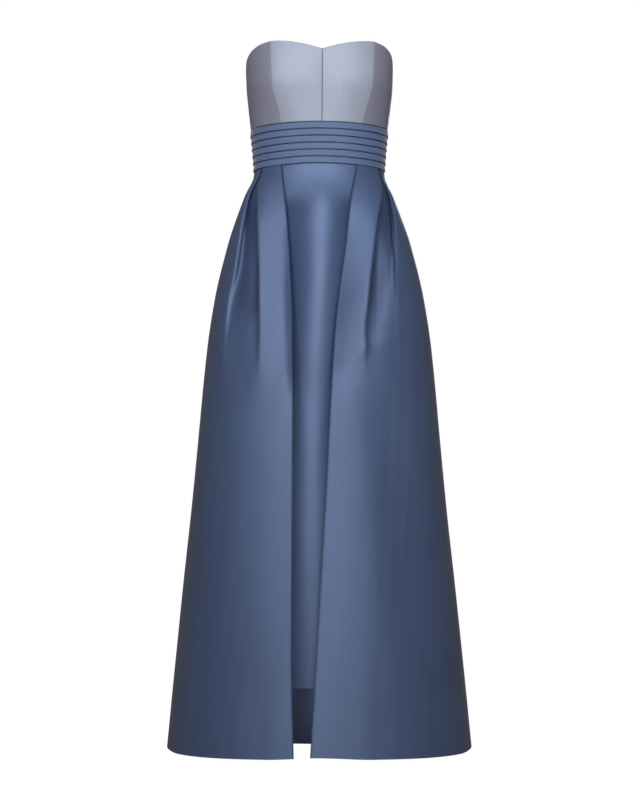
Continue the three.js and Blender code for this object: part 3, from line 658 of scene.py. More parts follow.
def bodice_points(angle, z):
    """Middle of the bodice's cloth. The panels meet on a soft ridge at the princess seams."""
    place = turned(angle)
    drawn = follow(BODY_FORM, "bust", z)
    seam = princess_angle(z)
    away = np.abs(np.abs(angle) - seam)
    reach = np.where(np.abs(angle) < seam, seam, RIDGE_REACH)
    tent = np.maximum(0, 1 - (np.hypot(away, RIDGE_ROUNDING) - RIDGE_ROUNDING) / reach)
    return polar(radius(BODY_FORM, z, place) + drawn * tent, place, z)


def princess_angle(z):
    """Angle of the left princess seam at a height."""
    out = follow(PRINCESS_SEAM, "out", z)
    drawn = follow(BODY_FORM, "bust", z)
    angle = np.full(np.shape(z), 0.7)
    for _ in range(12):
        angle = np.arcsin(np.minimum(0.98, out / (radius(BODY_FORM, z, angle) + drawn)))
    return angle


def neckline(angle):
    """Height of the neckline at an angle."""
    return follow(NECKLINE, "z", np.degrees(np.abs(angle)))


def seam_rolled(points, sides=("first", "last"), amount=0.6, wide=1.4):
    """Points drawn in where the cloth turns under at its seams, and how deep each lies, from 0 to 1."""
    across = lengths(points, 1)
    fold = np.zeros(across.shape)
    if "first" in sides:
        fold = np.maximum(fold, np.exp(-across / wide))
    if "last" in sides:
        fold = np.maximum(fold, np.exp(-(across[:, -1:] - across) / wide))
    return points - outwards(points) * (amount * fold)[..., None], fold


def bodice_panel(name, from_seam, to_seam, width, seed, material, depth=(0.7, 0.7)):
    """A bodice panel between two seams, each a function that gives its angle at a height.

    depth is the painted shade of its first and last seams, from 0 to 1.
    """
    foot = BAND_TOP + SEAM_GAP
    share = 1 - shares(BODICE_HEIGHT, 3.2)[:, None]
    edges = []
    for seam in (from_seam, to_seam):
        angle = seam(mix(foot, NECKLINE["z"][0], share))
        for _ in range(3):
            angle = seam(mix(foot - band_dip(turned(angle)), neckline(angle), share))
        edges.append(angle)
    gap = SEAM_GAP / 2 / SEAM_REACH
    angle = mix(edges[0] + gap, edges[1] - gap, shares(width, 2.6)[None, :])
    points = bodice_points(angle, mix(foot - band_dip(turned(angle)), neckline(angle), share))
    across, down = lengths(points, 1), lengths(points, 0)
    soft = ripple(across, down, 60, seed) * 0.22
    points = points + outwards(points) * soft[..., None]
    points, fold = seam_rolled(points, amount=0.5, wide=1.1)
    neck = NECK_ROLL["inwards"] * np.exp(-down / NECK_ROLL["wide"])
    points = points - outwards(points) * neck[..., None]
    # Painted shade along the seams, darkest where the cloth rolls under
    shade = mix(depth[0], depth[1], smoothstep(across / across[:, -1:], 0, 1))
    bm = grid_mesh(points, crease=shade * fold**2)
    piece = finish_piece(name + "_cloth", bm, material, replaces=[name])
    thicken(piece, cloth_thickness())
    behind = points[NECK_TURNING]
    turned_edge(name + "_neck_turning", behind, material, colour_of("bodice"), "bodice_satin")


def right_princess_angle(z):
    """Angle of the right princess seam at a height."""
    return -princess_angle(z)


def at_angle(value):
    """A seam that stays at one angle at every height."""
    return lambda z: np.full(np.shape(z), float(value))


class GOWN_OT_bodice(bpy.types.Operator):
    """Six panels, with seams at the front, the back, the sides and over the bust"""

    bl_idname = "gown.bodice"
    bl_label = "Bodice"

    def execute(self, context):
        front, side, back = at_angle(0), at_angle(QUARTER), at_angle(math.pi)
        straight, crosswise_painted_darker = bodice_satin(), turned_satin_painted_darker()
        # The pairs of numbers are the painted shade of each panel's first and last seams
        bodice_panel("bodice_front_left", front, princess_angle, 105, 11, straight, (0.9, 0.4))
        bodice_panel("bodice_front_right", right_princess_angle, front, 105, 12, straight, (0.4, 0.9))
        bodice_panel("bodice_side_front_left", princess_angle, side, 100, 13, crosswise_painted_darker, (0.5, 0.6))
        right_side, right_back = at_angle(-QUARTER), at_angle(-math.pi)
        panel = "bodice_side_front_right"
        bodice_panel(panel, right_side, right_princess_angle, 100, 14, crosswise_painted_darker, (0.6, 0.5))
        bodice_panel("bodice_back_left", side, back, 175, 15, straight)
        bodice_panel("bodice_back_right", right_back, right_side, 175, 16, straight)
        return {"FINISHED"}


# Waistband

TUCKS = 6
BAND_REACH = 125  # about how far its cloth is from the middle, to turn angles into lengths
BAND_SEAM_REACH = 110  # the same at its seams

# One tuck's outline from its upper end to just under its folded edge: height above the edge, distance out
# from the form, and the painted shade of its depths under the fold, from 0 to 1
TUCK_OUTLINE = {
    "up": (11.7, 10.9, 8.8, 6.5, 4, 2, 1, 0.45, 0.1, 0, 0.15, 0.6, 1.2, 1.9, 2.1, 1.7, 0.9),
    "out": (0.35, 0.68, 1.15, 1.55, 1.95, 2.25, 2.35, 2.32, 2.15, 1.9, 1.65, 1.5, 1.38, 1.1, 0.7, 0.35, 0.25),
    "dark": (0.9, 0.1, 0, 0, 0, 0, 0, 0, 0, 1 / 3, 2 / 3, 1, 1, 1, 1, 1, 1),
}
LOWEST_TUCK = 12  # points of this outline in the lowest tuck, which lies over no other
INSIDE_POINTS = 12


def band_section():
    """The waistband's closed outline, down its tucks and up its plain inside.

    Columns are height, distance out from the form, painted shade in a tuck's depth from 0 to 1, and the
    tuck's number, or -1 on the inside.
    """
    tuck = (BAND_TOP - BAND_FOOT) / TUCKS
    rows = [(BAND_TOP, 0.2, 0.4, 0)]
    for k in range(TUCKS):
        fold = BAND_TOP - (k + 1) * tuck
        outline = list(zip(*TUCK_OUTLINE.values()))
        if k == TUCKS - 1:
            outline = outline[:LOWEST_TUCK]
        rows += [(fold + up, out, dark, k) for up, out, dark in outline]
    inside = np.linspace(BAND_FOOT + 0.3, BAND_TOP, INSIDE_POINTS)
    rows += [(height, BAND_INSIDE, 0, -1) for height in inside]
    return np.array([*rows, rows[0]], float)


def band_piece(name, start, stop, seed):
    """A piece of the waistband between two angles, its tucks a little uneven."""
    section = band_section()
    height, out, depth, tuck = (section[:, [column]] for column in range(4))
    gap = SEAM_GAP / 2 / BAND_SEAM_REACH
    angle = mix(start + gap, stop - gap, shares(BAND_REACH * (stop - start), 4)[None, :])
    length = BAND_REACH * angle
    plain = (tuck < 0) | (height > BAND_TOP - 0.1) | (height < BAND_FOOT + 0.1)
    waver = 0.22 * ripple(length + 97 * tuck, 31 * tuck, 70, seed)
    rise = 1 + 0.12 * ripple(length + 53 * tuck, 17 * tuck, 45, seed + 1)
    z = height + np.where(plain, 0, waver)
    distance = radius(BODY_FORM, z, angle) + np.where(out > 0.7, out * rise, out)
    points = polar(distance, angle, z - band_dip(angle))
    # Painted shade under each tuck's fold, from the outline's third column
    bm = grid_mesh(points, crease=np.broadcast_to(depth, z.shape), loop=True)
    ends = [edge for edge in bm.edges if edge.is_boundary]
    caps = bmesh.ops.holes_fill(bm, edges=ends, sides=0)["faces"]
    bmesh.ops.triangulate(bm, faces=caps)
    bm.normal_update()
    piece = finish_piece(name + "_cloth", bm, band_satin(), replaces=[name])


class GOWN_OT_waistband(bpy.types.Operator):
    """Three pieces with horizontal tucks, each fold lapping the one below"""

    bl_idname = "gown.waistband"
    bl_label = "Waistband"

    def execute(self, context):
        band_piece("waistband_front", -QUARTER, QUARTER, 21)
        band_piece("waistband_back_left", QUARTER, math.pi, 23)
        band_piece("waistband_back_right", -math.pi, -QUARTER, 25)
        return {"FINISHED"}


# Overskirt

PAST_FRONT = -0.35  # angle at which a ring's samples start, past the front, where the left edge crosses over
# Painted shade: dark lines at the front opening and a pleat's far edge, and darker cloth deep in a pleat
EDGE_SHADE = {"dark": 0.95, "wide": 2.2}  # at the front opening
FAR_EDGE_SHADE = {"dark": 0.95, "wide": 3.2, "back": 2.5}  # at a pleat's far edge, and how far before it
RECESS_SHADE = {"dark": 0.45, "from": 3, "to": 11}  # by depth in a pleat


def ring_samples(drop):
    """One side of the overskirt's ring, from past the front to the back: angles, places, running length."""
    angle = np.linspace(PAST_FRONT, math.pi, 1600)
    fluted = smoothstep(angle, QUARTER, 2.1) * smoothstep(drop, FLUTE_START_DROP, OVERSKIRT_LENGTH)
    distance = radius(OVERSKIRT_FORM, drop, angle) + FLUTE_HEIGHT * fluted * np.cos(FLUTES_PER_TURN * angle)
    place = np.stack([distance * np.sin(angle), -distance * np.cos(angle)], axis=1)
    length = np.concatenate([[0], np.cumsum(np.linalg.norm(np.diff(place, axis=0), axis=1))])
    return angle, place, length


def length_at(samples, out, on_back):
    """Running length where the ring passes a distance from the middle, on its front or back half."""
    angle, place, length = samples
    half = angle > QUARTER if on_back else angle <= QUARTER
    x, along = place[half, 0], length[half]
    return np.interp(out, x[::-1], along[::-1]) if on_back else np.interp(out, x, along)


def rounded(path, count):
    """Smooth curve through the points of a path, with count steps between two points."""
    path = np.asarray(path, float)
    before, after = np.vstack([path[:1], path[:-1]]), np.vstack([path[1:], path[-1:]])
    tangent = (after - before) / 2
    t = np.linspace(0, 1, count, endpoint=False)[:, None, None]
    start, stop = path[None, :-1], path[None, 1:]
    curve = (2 * t**3 - 3 * t**2 + 1) * start + (3 * t**2 - 2 * t**3) * stop
    curve = curve + (t**3 - 2 * t**2 + t) * tangent[None, :-1] + (t**3 - t**2) * tangent[None, 1:]
    return np.vstack([curve.transpose(1, 0, 2).reshape(-1, 2), path[-1:]])


def pleat_path(near, far, slope, drop):
    """Places of a pleat's cloth from its near to its far edge: length along the ring, distance inwards."""
    depth = float(follow(PLEAT_OPENING, "depth", drop))
    closed = float(follow(PLEAT_OPENING, "closed", drop))
    widening = 1 + PLEAT_WIDENING * drop / OVERSKIRT_LENGTH
    way = 1 if far > near else -1
    step = {name: np.array(column, float) for name, column in PLEAT_PATH.items()}
    far_depth = mix(step["box_depth"], step["slope_depth"], slope)
    into = near + way * mix(step["near"] * widening, step["closed"], closed)
    out = far - way * mix(step["far"] * widening, step["closed"], closed)
    first = mix(step["near_depth"], step["closed_depth"], closed)
    last = mix(far_depth, step["closed_depth"], closed)
    middle = (first[-1] + last[-1]) / 2
    path = np.concatenate([into, [(near + far) / 2], out[::-1]])
    path = np.stack([path, depth * np.concatenate([first, [middle], last[::-1]])], axis=1)
    return path if way > 0 else path[::-1]


def fold_shade(path, drop, opening, far, slope):
    """Painted shade of a row of the overskirt in its pleat and at its edges, from 0 to 1."""
    recess = RECESS_SHADE["dark"] * smoothstep(path[:, 1], RECESS_SHADE["from"], RECESS_SHADE["to"])
    edge = 0
    if opening is not None:
        edge = EDGE_SHADE["dark"] * np.exp(-(((path[:, 0] - opening) / EDGE_SHADE["wide"]) ** 2))
    away = (path[:, 0] - far + FAR_EDGE_SHADE["back"]) / FAR_EDGE_SHADE["wide"]
    line = FAR_EDGE_SHADE["dark"] * slope * np.exp(-(away**2))
    line = line * smoothstep(drop, 15, 60) * (1 - smoothstep(drop, 210, 280))
    return np.maximum(np.maximum(recess, edge), line)


def overskirt_points(side, on_back, drops):
    """Middle of an overskirt quarter's cloth, in rows from the waist down, and its folds' painted shade."""
    place = "back" if on_back else side
    creases, edges, slope = CREASES[place], PLEAT_EDGES[place], PLEAT_SLOPE[place]
    rows, shades = [], []
    for drop in drops:
        samples = ring_samples(drop)
        angle, place, length = samples
        seam = length[place[:, 0].argmax()]
        near = length_at(samples, float(follow(edges, "near", drop)), on_back)
        far = length_at(samples, float(follow(edges, "far", drop)), on_back)
        if on_back:
            start, stop = seam + SEAM_GAP / 2, length[-1] - SEAM_GAP / 2
        else:
            start = length_at(samples, float(follow(OPENING_EDGE[side], "out", drop)), False)
            stop = seam - SEAM_GAP / 2
        pleat = rounded(pleat_path(near, far, slope, drop), 5)
        before = mix(start, pleat[0, 0], shares(90, 4.5)[:-1])
        after = mix(pleat[-1, 0], stop, shares(90, 4.5)[1:])
        flat = [np.stack([part, np.zeros_like(part)], axis=1) for part in (before, after)]
        path = np.vstack([flat[0], pleat, flat[1]])
        x, y = (np.interp(path[:, 0], length, place[:, c]) for c in (0, 1))
        heading = np.gradient(place, axis=0)
        heading /= np.linalg.norm(heading, axis=1, keepdims=True)
        along_x, along_y = (np.interp(path[:, 0], length, heading[:, c]) for c in (0, 1))
        turn = np.interp(path[:, 0], length, angle)
        shallow = np.clip(1 - path[:, 1] / 6, 0, 1)
        height = pressed(x, drop, creases) * shallow
        soft = 0.5 * ripple(path[:, 0], drop, 95, 31 if on_back else 33)
        height = height + soft * smoothstep(drop, 60, 400)
        inset = path[:, 1] - height
        z = skirt_height(drop, turn) - follow(HEM_DIP, "dip", np.degrees(turn)) * drop / OVERSKIRT_LENGTH
        rows.append(np.stack([x - along_y * inset, y + along_x * inset, z], axis=1))
        shades.append(fold_shade(path, drop, None if on_back else start, far, slope))
    points, shade = np.array(rows), np.array(shades)
    if side == "right":
        points, shade = (points * (-1, 1, 1))[:, ::-1], shade[:, ::-1]
    return points, shade


def skirt_drops(length, step):
    """Rows of a skirt: close together at the seam and hem, a step apart between, closer by the pleats."""
    upper = np.arange(4.5, 360, step * 0.6)
    lower = np.arange(upper[-1] + step, length - 5, step)
    return np.concatenate([[0, 0.7, 1.6, 2.8], upper, lower, length - np.array([3.2, 1.7, 0.7, 0])])


def overskirt_quarter(name, side, on_back):
    """A quarter of the overskirt with its turned hem."""
    points, shade = overskirt_points(side, on_back, skirt_drops(OVERSKIRT_LENGTH, 8))
    seams = ("first", "last") if on_back else (("last",) if side == "left" else ("first",))
    points, fold = seam_rolled(points, seams)
    # Painted shade in the folds, and a darker line where the cloth rolls under at its seams
    bm = grid_mesh(points, crease=np.maximum(shade, 0.8 * fold**2))
    piece = finish_piece(name + "_cloth", bm, skirt_satin(), replaces=[name])
    thicken(piece, cloth_thickness())
    hem, _ = overskirt_points(side, on_back, OVERSKIRT_LENGTH - HEM_TURNING)
    hem, _ = seam_rolled(hem, seams)
    turned_edge(name + "_hem_turning", hem, skirt_satin(), colour_of("skirt"), "skirt_satin")


class GOWN_OT_overskirt(bpy.types.Operator):
    """Four quarters, each with a deep inverted pleat, open down the front"""

    bl_idname = "gown.overskirt"
    bl_label = "Overskirt"

    def execute(self, context):
        for side in ("left", "right"):
            overskirt_quarter("overskirt_front_" + side, side, False)
            overskirt_quarter("overskirt_back_" + side, side, True)
        return {"FINISHED"}


# Underskirt


def away_from_pleat(angle):
    """Distance along the waist from an angle to the nearest pleat."""
    nearest = np.full(np.shape(angle), 1e9)
    for edges, on_back, signs in (
        (PLEAT_EDGES["left"], False, (1,)),
        (PLEAT_EDGES["right"], False, (-1,)),
        (PLEAT_EDGES["back"], True, (-1, 1)),
    ):
        turn = np.linspace(0, QUARTER, 4000)
        out = radius(OVERSKIRT_FORM, 0, math.pi - turn if on_back else turn) * np.sin(turn)
        place = turn[np.searchsorted(out, edges["near"][0])]
        place = math.pi - place if on_back else place
        reach = float(radius(OVERSKIRT_FORM, 0, place))
        for sign in signs:
            gap = np.where((angle * sign > 0) & ((np.cos(angle) < 0) == on_back), 0, 1e9)
            nearest = np.minimum(nearest, gap + np.abs(angle - sign * place) * reach)
    return nearest


def underskirt_points(start, stop, drops, width, on_front):
    """Middle of an underskirt piece's cloth, in rows from the waist down, and its flanks' painted shade."""
    gap = SEAM_GAP / 2 / SEAM_REACH
    angle = mix(start + gap, stop - gap, shares(width, 5)[None, :])
    drop = np.asarray(drops, float)[:, None]
    along = 1 - smoothstep(away_from_pleat(angle), 26, 46)
    room = PLEAT_ROOM * along * (1 - smoothstep(drop, 10, 60))
    distance = radius(UNDERSKIRT_FORM, drop, angle) - room
    points = polar(distance, angle, skirt_height(drop, angle))
    if not on_front:
        return points, np.zeros(points.shape[:2])
    height = pressed(points[..., 0], drop, UNDERSKIRT_CREASES)
    # Painted shade: the flanks beside the front's fold are darker, where the overskirt's edges shade them
    crest = height.max(axis=1, keepdims=True)
    shade = 0.7 * (1 - height / np.maximum(crest, 1)) * smoothstep(crest, 8, 18)
    return points + outwards(points) * height[..., None], shade


def underskirt_panel(name, start, stop, width, on_front):
    """A piece of the underskirt between two angles, with its turned hem."""
    points, shade = underskirt_points(start, stop, skirt_drops(UNDERSKIRT_LENGTH, 9), width, on_front)
    points, fold = seam_rolled(points)
    # Painted shade on the flanks, and a darker line where the cloth rolls under at its seams
    bm = grid_mesh(points, crease=np.maximum(shade, 0.8 * fold**2))
    piece = finish_piece(name + "_cloth", bm, underskirt_satin_painted_paler(), replaces=[name])
    thicken(piece, cloth_thickness())
    hem, _ = underskirt_points(start, stop, UNDERSKIRT_LENGTH - HEM_TURNING, width, on_front)
    hem, _ = seam_rolled(hem)
    colour = colour_of("underskirt")
    turned_edge(name + "_hem_turning", hem, underskirt_satin_painted_paler(), colour, "skirt_satin")


class GOWN_OT_underskirt(bpy.types.Operator):
    """One front piece and two back pieces, a slim column"""

    bl_idname = "gown.underskirt"
    bl_label = "Underskirt"

    def execute(self, context):
        underskirt_panel("underskirt_front", -QUARTER, QUARTER, 420, True)
        underskirt_panel("underskirt_back_left", QUARTER, math.pi, 210, False)
        underskirt_panel("underskirt_back_right", -math.pi, -QUARTER, 210, False)
        return {"FINISHED"}


# Zip

ZIP_TOP = 6  # distance of the tape's upper end below the neckline
ZIP_END = -150
TAPE_WIDTH = 22
TAPE_THICK = 0.7
TAPE_BEHIND = 1.8  # distance of the tape's middle from the middle of the cloth outside it
TAPE_STITCH_PITCH = 2.8
TOOTH = {"pitch": 2.2, "wide": 2.6, "deep": 1.0, "tall": 0.75, "aside": 0.75, "rounding": 0.2}


def tape_points(x, z):
    """Middle of the tape at distances to the left and heights, behind the underskirt and the bodice."""
    above = smoothstep(z, 0, 30)
    drop = skirt_drop(z)
    reach = mix(follow(UNDERSKIRT_FORM, "back", drop), follow(BODY_FORM, "back", z), above)
    angle = math.pi - np.arcsin(x / reach)
    inside = radius(BODY_FORM, z, angle) + BAND_INSIDE + 0.6
    outside = mix(radius(UNDERSKIRT_FORM, drop, angle), inside, above)
    return polar(outside - TAPE_BEHIND, angle, z)


def tape_top():
    """Height of the tape's upper end."""
    return float(neckline(math.pi)) - ZIP_TOP


def zip_tape():
    """Both tapes as one strip, sewn down along each side."""
    tape = woven_tape("zip tape weave", colour_of("zip"))
    x = mix(TAPE_WIDTH / 2, -TAPE_WIDTH / 2, shares(TAPE_WIDTH, 2)[None, :])
    z = np.linspace(tape_top(), ZIP_END, 90)[:, None]
    points = tape_points(x, z)
    facing = outwards(points)
    piece = finish_piece("zip_tape_cloth", grid_mesh(points), tape, replaces=["zip_tape"])
    thicken(piece, TAPE_THICK)
    for side, column in (("left", 4), ("right", -5)):
        inwards = -facing[:, column]
        line = points[:, column] + inwards * (TAPE_THICK / 2)
        thread_colour = colour_of("skirt")
        row = stitch_row("zip_stitches_" + side, line, inwards, thread_colour, "zip_tape", TAPE_STITCH_PITCH)


def zip_teeth():
    """Teeth of both tapes, in turn from the left and the right, on the inside of the tape."""
    top = tape_top()
    bm = bmesh.new()
    for k in range(int((top - ZIP_END - 8) / TOOTH["pitch"] * 2)):
        side = 1 if k % 2 else -1
        z = top - 4 - k * TOOTH["pitch"] / 2
        across = np.array([1.0, 0.0, -1.0])[None, :]
        around = tape_points(across + side * TOOTH["aside"], np.array([z + 1, z, z - 1])[:, None])
        out = Vector(outwards(around)[1, 1])
        place = Vector(around[1, 1]) - out * TOOTH["aside"]
        down = Vector(around[2, 1] - around[0, 1]).normalized()
        beside = out.cross(down).normalized()
        size = beside * TOOTH["wide"], out * TOOTH["deep"], down * TOOTH["tall"]
        bmesh.ops.create_cube(bm, size=1, matrix=set_down(place, size))
    bmesh.ops.recalc_face_normals(bm, faces=bm.faces)
    round_edges(bm, bm.edges[:], TOOTH["rounding"] * MM, 1)
    finish_piece("zip_teeth", bm, zip_metal())


def zip_metal():
    return made_once("zip lacquer", painted_metal, colour_of("zip"))


def plate_outline(half_wide, half_tall, square, narrowing=0.0, lift=(0.0, 0.0)):
    """Outline of a rounded plate, narrower towards its top by a share of its width."""
    turn = np.linspace(0, 2 * math.pi, 40, endpoint=False)
    reach = (np.abs(np.sin(turn)) ** square + np.abs(np.cos(turn)) ** square) ** (-1 / square)
    up = reach * np.cos(turn)
    across = reach * np.sin(turn) * (1 - narrowing * up)
    return np.stack([half_wide * across + lift[0], half_tall * up + lift[1]], axis=1)


def stamped(outline, thickness, edge, place, hole=None):
    """A plate with its outline in x and z, its thickness along y and rounded edges, moved to its place."""
    bm = bmesh.new()
    bmesh.ops.create_circle(bm, segments=len(outline), radius=1, cap_ends=hole is None)
    for vert, (x, z) in zip(bm.verts, outline):
        vert.co = (x, 0, z)
    if hole is not None:
        inner = bmesh.ops.create_circle(bm, segments=len(hole), radius=1)["verts"]
        for vert, (x, z) in zip(inner, hole):
            vert.co = (x, 0, z)
        bmesh.ops.bridge_loops(bm, edges=bm.edges[:])
    raised = bmesh.ops.extrude_face_region(bm, geom=bm.faces[:])["geom"]
    raised = [item for item in raised if isinstance(item, bmesh.types.BMVert)]
    bmesh.ops.translate(bm, verts=raised, vec=(0, thickness, 0))
    bmesh.ops.recalc_face_normals(bm, faces=bm.faces)
    sharp = [side for side in bm.edges if side.calc_face_angle(0) > 0.9]
    round_edges(bm, sharp, edge, 2)
    bmesh.ops.transform(bm, verts=bm.verts, matrix=Matrix.Scale(MM, 4) @ place)
    smooth(bm)
    mesh = bpy.data.meshes.new("plate")
    bm.to_mesh(mesh)
    bm.free()
    return mesh


def joined(meshes):
    """One bmesh of several meshes."""
    bm = bmesh.new()
    for mesh in meshes:
        bm.from_mesh(mesh)
        bpy.data.meshes.remove(mesh)
    return bm


def zip_slider():
    """The slider's body and the loop that the pull hangs on."""
    low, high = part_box("zip_slider")
    back = low.y / MM
    middle = (low.z + high.z) / 2 / MM
    body = stamped(plate_outline(3, 4.5, 2.8, -0.12), 2.4, 0.45, Matrix.Translation((0, back, middle)))
    face = Matrix.Translation((0, back + 2.35, middle))
    groove = stamped(plate_outline(1.9, 3.3, 2.8, -0.1), 0.3, 0.12, face)
    sideways = Matrix.Translation((0.6, back + 2.4 + 1.85, middle)) @ Matrix.Rotation(QUARTER, 4, "Z")
    hole = plate_outline(1.6, 2.5, 4, lift=(-0.25, 0))
    loop = stamped(plate_outline(2.35, 3.5, 4), 1.2, 0.3, sideways, hole)
    bm = joined([body, groove, loop])
    finish_piece("zip_slider_metal", bm, zip_metal(), replaces=["zip_slider"])


def zip_pull():
    """Drop-shaped pull, hung on the slider's loop by the bar above its slot."""
    low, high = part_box("zip_pull")
    place = Matrix.Translation((0, low.y / MM, (low.z + high.z) / 2 / MM))
    outline = plate_outline(3, 10.5, 3, 0.17)
    plate = stamped(outline, 1, 0.25, place, plate_outline(1.3, 2.5, 4, lift=(0, 6.8)))
    bm = joined([plate])
    finish_piece("zip_pull_metal", bm, zip_metal(), body="zip_pull", replaces=["zip_pull"])


class GOWN_OT_zip(bpy.types.Operator):
    """Concealed zip: tape and teeth inside the back seam, with a slider and a pull outside"""

    bl_idname = "gown.zip"
    bl_label = "Zip"

    def execute(self, context):
        zip_tape()
        zip_teeth()
        zip_slider()
        zip_pull()
        return {"FINISHED"}


# Stage

# Camera, in metres: about 0.3 above the floor and tilted up a little
CAMERA_DISTANCE = 5.2
CAMERA_HEIGHT = -0.79
CAMERA_SIDE = 0.0013
CAMERA_TILT = math.radians(2.84)
CAMERA_SHIFT = 0.06
FOCAL_PIXELS = 2768
PHOTO_HEIGHT = 800  # pixels
SENSOR = 36

FLOOR = -1.108
FLOOR_RADIUS = 9
LIGHT_COLOUR = (0.92, 1.0, 1.08)
ROOM_COLOUR = (1.0, 0.84, 0.80)  # of the faint light from all round
ROOM_LIGHT = 0.12


def aimed(obj, place, target):
    """Moves a light to a place and turns it to a target."""
    obj.location = place
    obj.rotation_euler = (Vector(target) - Vector(place)).to_track_quat("-Z", "Y").to_euler()


def soft_light(name, place, target, size, power, spread):
    """A light with a wide face, unseen by the camera."""
    light = bpy.data.lights.new(name, "AREA")
    light.color = LIGHT_COLOUR
    light.shape = "RECTANGLE"
    light.size, light.size_y = size
    light.energy = power
    light.spread = spread
    lamp = bpy.data.objects.new(name, light)
    lamp.visible_camera = False
    bpy.context.scene.collection.objects.link(lamp)
    aimed(lamp, place, target)


def stage_material(name):
    """Pale matt floor that glows a little, so that it runs into the pale room."""
    material, _, shader = new_material(name)
    shader.inputs["Base Color"].default_value = (0.1, 0.1, 0.1, 1)
    shader.inputs["Roughness"].default_value = 1.0
    shader.inputs["Specular IOR Level"].default_value = 0.0
    shader.inputs["Emission Color"].default_value = (1, 1, 1, 1)
    shader.inputs["Emission Strength"].default_value = 1.0
    return material


class GOWN_OT_stage(bpy.types.Operator):
    """Pale floor, soft lights and the camera"""

    bl_idname = "gown.stage"
    bl_label = "Stage"

    def execute(self, context):
        scene = context.scene
        camera = bpy.data.objects.new("camera", bpy.data.cameras.new("camera"))
        scene.collection.objects.link(camera)
        camera.location = (CAMERA_SIDE, -CAMERA_DISTANCE, CAMERA_HEIGHT)
        camera.rotation_euler = (QUARTER + CAMERA_TILT, 0, 0)
        camera.data.sensor_width = SENSOR
        camera.data.lens = FOCAL_PIXELS * SENSOR / PHOTO_HEIGHT
        camera.data.shift_y = CAMERA_SHIFT
        scene.camera = camera

        bm = bmesh.new()
        bmesh.ops.create_circle(bm, cap_ends=True, segments=96, radius=FLOOR_RADIUS)
        bmesh.ops.translate(bm, verts=bm.verts, vec=(0, 0, FLOOR))
        mesh = bpy.data.meshes.new("floor")
        bm.to_mesh(mesh)
        bm.free()
        mesh.materials.append(stage_material("pale floor"))
        floor = bpy.data.objects.new("floor", mesh)
        floor.visible_diffuse = False
        floor.visible_glossy = False
        scene.collection.objects.link(floor)

        soft_light("key", (-0.1, -2.3, 1.0), (0, 0, -0.1), (2.6, 1.6), 31, 2.5)
        soft_light("fill", (0, -2.7, 0.1), (0, 0, -0.2), (4.4, 0.8), 5, 2.4)
        soft_light("waist", (0, -2.4, -0.3), (0, 0, 0.12), (0.5, 0.3), 0.1, 0.5)
        soft_light("low", (0.05, -2.4, -0.65), (-0.02, 0, -0.72), (0.4, 0.4), 1.0, 1.5)
        soft_light("under", (0, 0.02, -1.09), (0, 0.2, -0.8), (0.2, 0.2), 0.17, 2.4)
        soft_light("back", (0.2, 2.6, 0.8), (0, 0, -0.1), (1.2, 0.8), 34, 2.4)

        world = bpy.data.worlds.new("studio")
        scene.world = world
        world.use_nodes = True
        tree = world.node_tree
        tree.nodes.clear()
        output = add_node(tree, "ShaderNodeOutputWorld", (600, 0))
        seen = add_node(tree, "ShaderNodeBackground", (200, 100), Strength=1.0)
        seen.inputs["Color"].default_value = (1, 1, 1, 1)
        lit = add_node(tree, "ShaderNodeBackground", (200, -100), Strength=ROOM_LIGHT)
        lit.inputs["Color"].default_value = (*ROOM_COLOUR, 1)
        path = add_node(tree, "ShaderNodeLightPath", (0, 300))
        either = add_node(tree, "ShaderNodeMixShader", (400, 0))
        tree.links.new(path.outputs["Is Camera Ray"], either.inputs["Fac"])
        tree.links.new(lit.outputs["Background"], either.inputs[1])
        tree.links.new(seen.outputs["Background"], either.inputs[2])
        tree.links.new(either.outputs["Shader"], output.inputs["Surface"])

        scene.view_settings.view_transform = "Standard"
        scene.view_settings.look = "None"
        return {"FINISHED"}


# Settings and panel


class GownSizes(bpy.types.PropertyGroup):
    cloth: bpy.props.FloatProperty(
        name="Cloth",
        description="Thickness of the satin",
        default=0.0008,
        min=0.0003,
        max=0.0014,
        unit="LENGTH",
    )


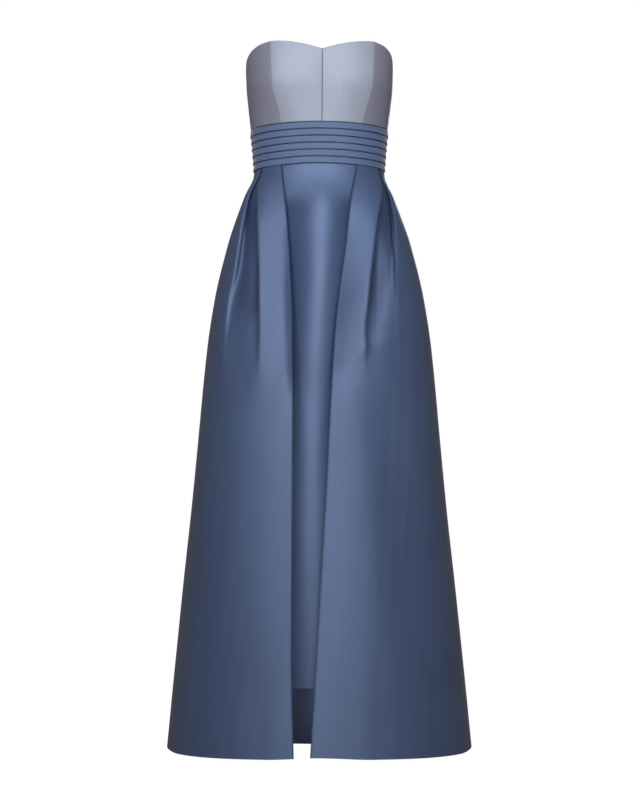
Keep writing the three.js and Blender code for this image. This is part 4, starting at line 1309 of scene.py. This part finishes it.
class GownColours(bpy.types.PropertyGroup):
    bodice: bpy.props.FloatVectorProperty(
        name="Bodice",
        description="Pale silvery blue satin of the bodice",
        subtype="COLOR",
        default=(0.42, 0.44, 0.52),
    )
    # Painted shade: the bodice's colour made darker and warmer for the side panels, for the shade on them
    turned: bpy.props.FloatVectorProperty(
        name="Bodice sides",
        description="The same satin cut across its grain",
        subtype="COLOR",
        default=(0.31, 0.30, 0.375),
    )
    band: bpy.props.FloatVectorProperty(
        name="Waistband",
        description="Mid-blue satin of the waistband",
        subtype="COLOR",
        default=(0.112, 0.158, 0.290),
    )
    skirt: bpy.props.FloatVectorProperty(
        name="Overskirt",
        description="Slate blue satin of the overskirt",
        subtype="COLOR",
        default=(0.091, 0.136, 0.250),
    )
    # Painted light: the overskirt's colour made paler, to make up for the light that the front opening keeps
    # from it
    underskirt: bpy.props.FloatVectorProperty(
        name="Underskirt",
        description="The same satin, a shade paler",
        subtype="COLOR",
        default=(0.112, 0.165, 0.295),
    )
    zip: bpy.props.FloatVectorProperty(
        name="Zip",
        description="Zip tape and lacquered metal",
        subtype="COLOR",
        default=(0.10, 0.13, 0.23),
    )


OPERATORS = (
    GOWN_OT_stage,
    GOWN_OT_bodice,
    GOWN_OT_waistband,
    GOWN_OT_overskirt,
    GOWN_OT_underskirt,
    GOWN_OT_zip,
)


class GOWN_PT_panel(bpy.types.Panel):
    """Lists the gown's settings and the steps that build it"""

    bl_idname = "GOWN_PT_panel"
    bl_label = "Satin Gown"
    bl_space_type = "VIEW_3D"
    bl_region_type = "UI"
    bl_category = "Gown"

    def draw(self, context):
        for group in (context.scene.gown_sizes, context.scene.gown_colours):
            for name in group.__annotations__:
                self.layout.prop(group, name)
        for operator in OPERATORS:
            self.layout.operator(operator.bl_idname)


CLASSES = (GownSizes, GownColours, *OPERATORS, GOWN_PT_panel)


def register():
    for cls in CLASSES:
        bpy.utils.register_class(cls)
    bpy.types.Scene.gown_sizes = bpy.props.PointerProperty(type=GownSizes)
    bpy.types.Scene.gown_colours = bpy.props.PointerProperty(type=GownColours)


def unregister():
    del bpy.types.Scene.gown_colours
    del bpy.types.Scene.gown_sizes
    for cls in reversed(CLASSES):
        bpy.utils.unregister_class(cls)


def main():
    register()
    bpy.ops.gown.stage()
    bpy.ops.gown.bodice()
    bpy.ops.gown.waistband()
    bpy.ops.gown.overskirt()
    bpy.ops.gown.underskirt()
    bpy.ops.gown.zip()


if __name__ == "__main__":
    main()
